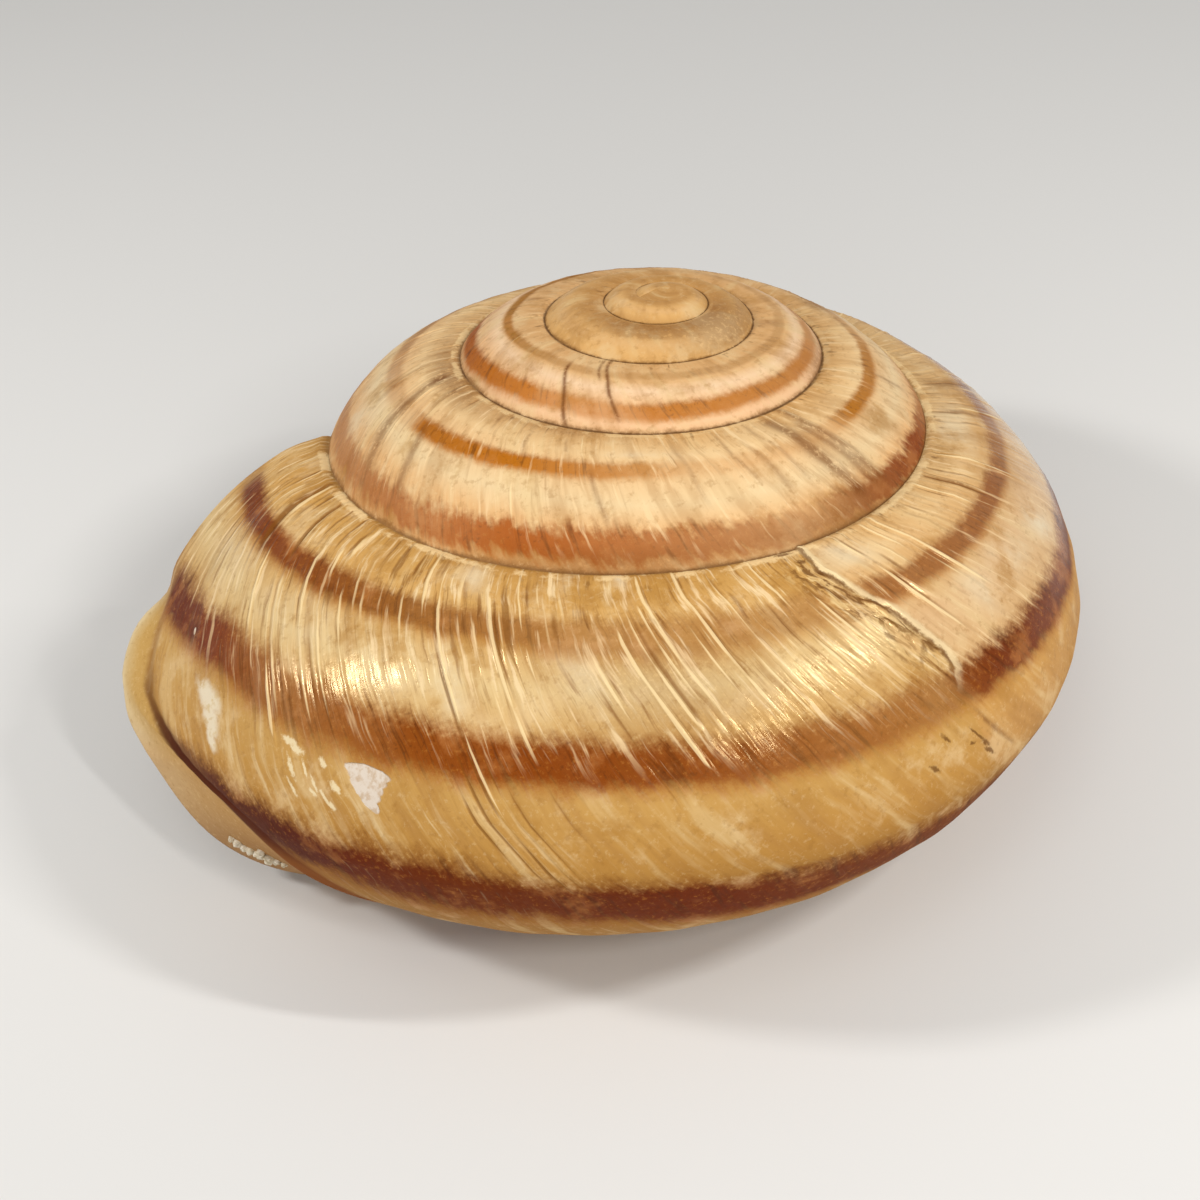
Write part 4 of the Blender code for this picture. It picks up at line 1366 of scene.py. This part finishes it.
    # Gloss and the finest relief: the shoulder of the last whorl keeps its shine
    shine = product(between(angle, 30, 46), between(angle, 86, 74))
    shine = product(shine, between(growth, 4.2, 4.6, 0.45, 0.04), between(growth, 5.075, 5.06))
    rough = add(tree, "MapRange", {0: speckle, 1: 0.3, 2: 0.7, 3: 0.55, 4: 0.67})
    rough = folded(tree, "SUBTRACT", rough, shine)
    rough = total(rough, total(between(angle, 26, 8, 0.16), product(furrow, 0.2)))
    rough = add(tree, "Math", {0: white, 1: 0.3, 2: rough}, operation="MULTIPLY_ADD")
    tree.links.new(rough, shader.inputs["Roughness"])
    height = product(total(product(hair, 0.35), product(fine, 1.2)), streaky)
    for part in (product(speckle, 0.22), product(mottle, 0.7), product(wrinkle, product(new_shell, 2.5)),
                 product(white, -1.2), product(between(seam, 0.2, 0.0), -1.5)):
        height = total(part, height)
    bump = add(tree, "Bump", {"Strength": 0.7, "Distance": 0.035 * MM, "Height": height})
    tree.links.new(bump, shader.inputs["Normal"])
    shader.inputs["IOR"].default_value = LIMESTONE_IOR
    shader.inputs["Specular IOR Level"].default_value = 0.25
    shader.inputs["Specular Tint"].default_value = colour("#FFE0A6")
    return material


# Places of the lime grains in millimetres, and their radii
GRAINS = (
    (-13.62, -8.87, 2.8, .12), (-13.42, -8.95, 2.66, .17), (-13.18, -9.03, 2.5, .16),
    (-12.94, -9.13, 2.46, .2), (-12.7, -9.27, 2.42, .17), (-12.5, -9.44, 2.56, .19),
    (-12.44, -9.62, 2.88, .15), (-12.18, -9.6, 2.52, .23), (-11.92, -9.68, 2.42, .15),
    (-11.66, -9.76, 2.33, .12))


def lime_grains():
    """Grains of lime that stick to the lip's lower edge, each a small roughened ball, half sunk in."""
    for number, (x, y, z, radius) in enumerate(GRAINS):
        bpy.ops.mesh.primitive_ico_sphere_add(subdivisions=2, radius=radius * MM,
                                              location=Vector((x, y, z)) * MM)
        bpy.ops.object.mode_set(mode="EDIT")
        bpy.ops.transform.vertex_random(offset=0.22 * radius * MM, uniform=0.4, normal=0.6, seed=number)
        bpy.ops.mesh.subdivide(number_cuts=1, smoothness=0.8)
        bpy.ops.object.mode_set(mode="OBJECT")
        bpy.context.object.name = f"lime_grain_{number}"
    grains = [bpy.data.objects[f"lime_grain_{number}"] for number in range(len(GRAINS))]
    bpy.ops.object.select_all(action="DESELECT")
    for grain in grains:
        grain.select_set(True)
    bpy.ops.object.join()
    bpy.ops.object.transform_apply(location=True, rotation=True, scale=True)
    bpy.ops.object.shade_smooth()
    piece = bpy.context.object
    piece.name = "lime_grains"
    return piece


def lime():
    """Rough whitish lime: matt, a little greyer where its bumps dip, as painted shade in those hollows."""
    material, tree, shader = new_material("lime_grit")
    spots = noise(tree, add(tree, "TexCoord", output=3), 5000.0, 3.0, 0.6)
    # darker where the bump dips: painted shade
    shade = ramp(tree, spots, ((0.36, "#B4A280"), (0.5, "#D2C4A8"), (0.64, "#E6DCC8")))
    tree.links.new(shade, shader.inputs["Base Color"])
    bump = add(tree, "Bump", {"Strength": 0.6, "Distance": 0.03 * MM, "Height": spots})
    tree.links.new(bump, shader.inputs["Normal"])
    shader.inputs["Roughness"].default_value = 0.7
    shader.inputs["IOR"].default_value = LIMESTONE_IOR
    return material


def pale_floor():
    """Plain matt board, pale and even, which keeps the object's shadow."""
    material, _, shader = new_material("pale_board")
    shader.inputs["Base Color"].default_value = colour("#DEDCD8")
    shader.inputs["Roughness"].default_value = 0.9
    shader.inputs["Specular IOR Level"].default_value = 0.1
    return material


shell = make_shell()
shell.data.materials.append(worn_shell())
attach(shell, "root")
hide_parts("shell")
grains = lime_grains()
grains.data.materials.append(lime())
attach(grains, "root")
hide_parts("shell")

bpy.ops.mesh.primitive_plane_add(size=1.6, location=(0, 0, 0))
floor = bpy.context.object
floor.name = "floor"
floor.data.materials.append(pale_floor())

world = bpy.data.worlds.new("soft_room")
world.use_nodes = True
background = world.node_tree.nodes["Background"]
background.inputs["Color"].default_value = colour("#F4F4F4")
background.inputs["Strength"].default_value = 0.42
bpy.context.scene.world = world

# Name, direction that the light comes from (around, up), distance, width and height in millimetres, power in
# watts. The two narrow windows draw thin glints along the growth ridges, and the broad one on the left the
# softer shine on the shoulder.
LAMPS = (
    ("window_left", 185, 42, 130, 13, 18, 0.061), ("window_right", -17, 47, 130, 4, 24, 0.056),
    ("window_front", -52, 45, 130, 4, 24, 0.033), ("ceiling", -105, 72, 140, 50, 50, 0.0125),
    ("front", -92, 20, 160, 90, 90, 0.033))
for name, around, up, distance, width, height, power in LAMPS:
    around, up = math.radians(around), math.radians(up)
    toward = Vector((math.cos(around) * math.cos(up), math.sin(around) * math.cos(up), math.sin(up)))
    place = toward * distance * MM
    bpy.ops.object.light_add(type="AREA", location=place)
    lamp = bpy.context.object
    lamp.name = name
    lamp.rotation_euler = place.to_track_quat("Z", "Y").to_euler()
    lamp.data.shape = "RECTANGLE"
    lamp.data.size = width * MM
    lamp.data.size_y = height * MM
    lamp.data.energy = power

bpy.ops.object.camera_add(location=Vector((5.107, -54.392, 56.722)) * MM,
                          rotation=[math.radians(turn) for turn in (46.521, 5.001, 0.858)])
camera = bpy.context.object
camera.data.lens = 59.37
camera.data.clip_start = 0.001
bpy.context.scene.camera = camera
bpy.context.scene.view_settings.view_transform = "Standard"
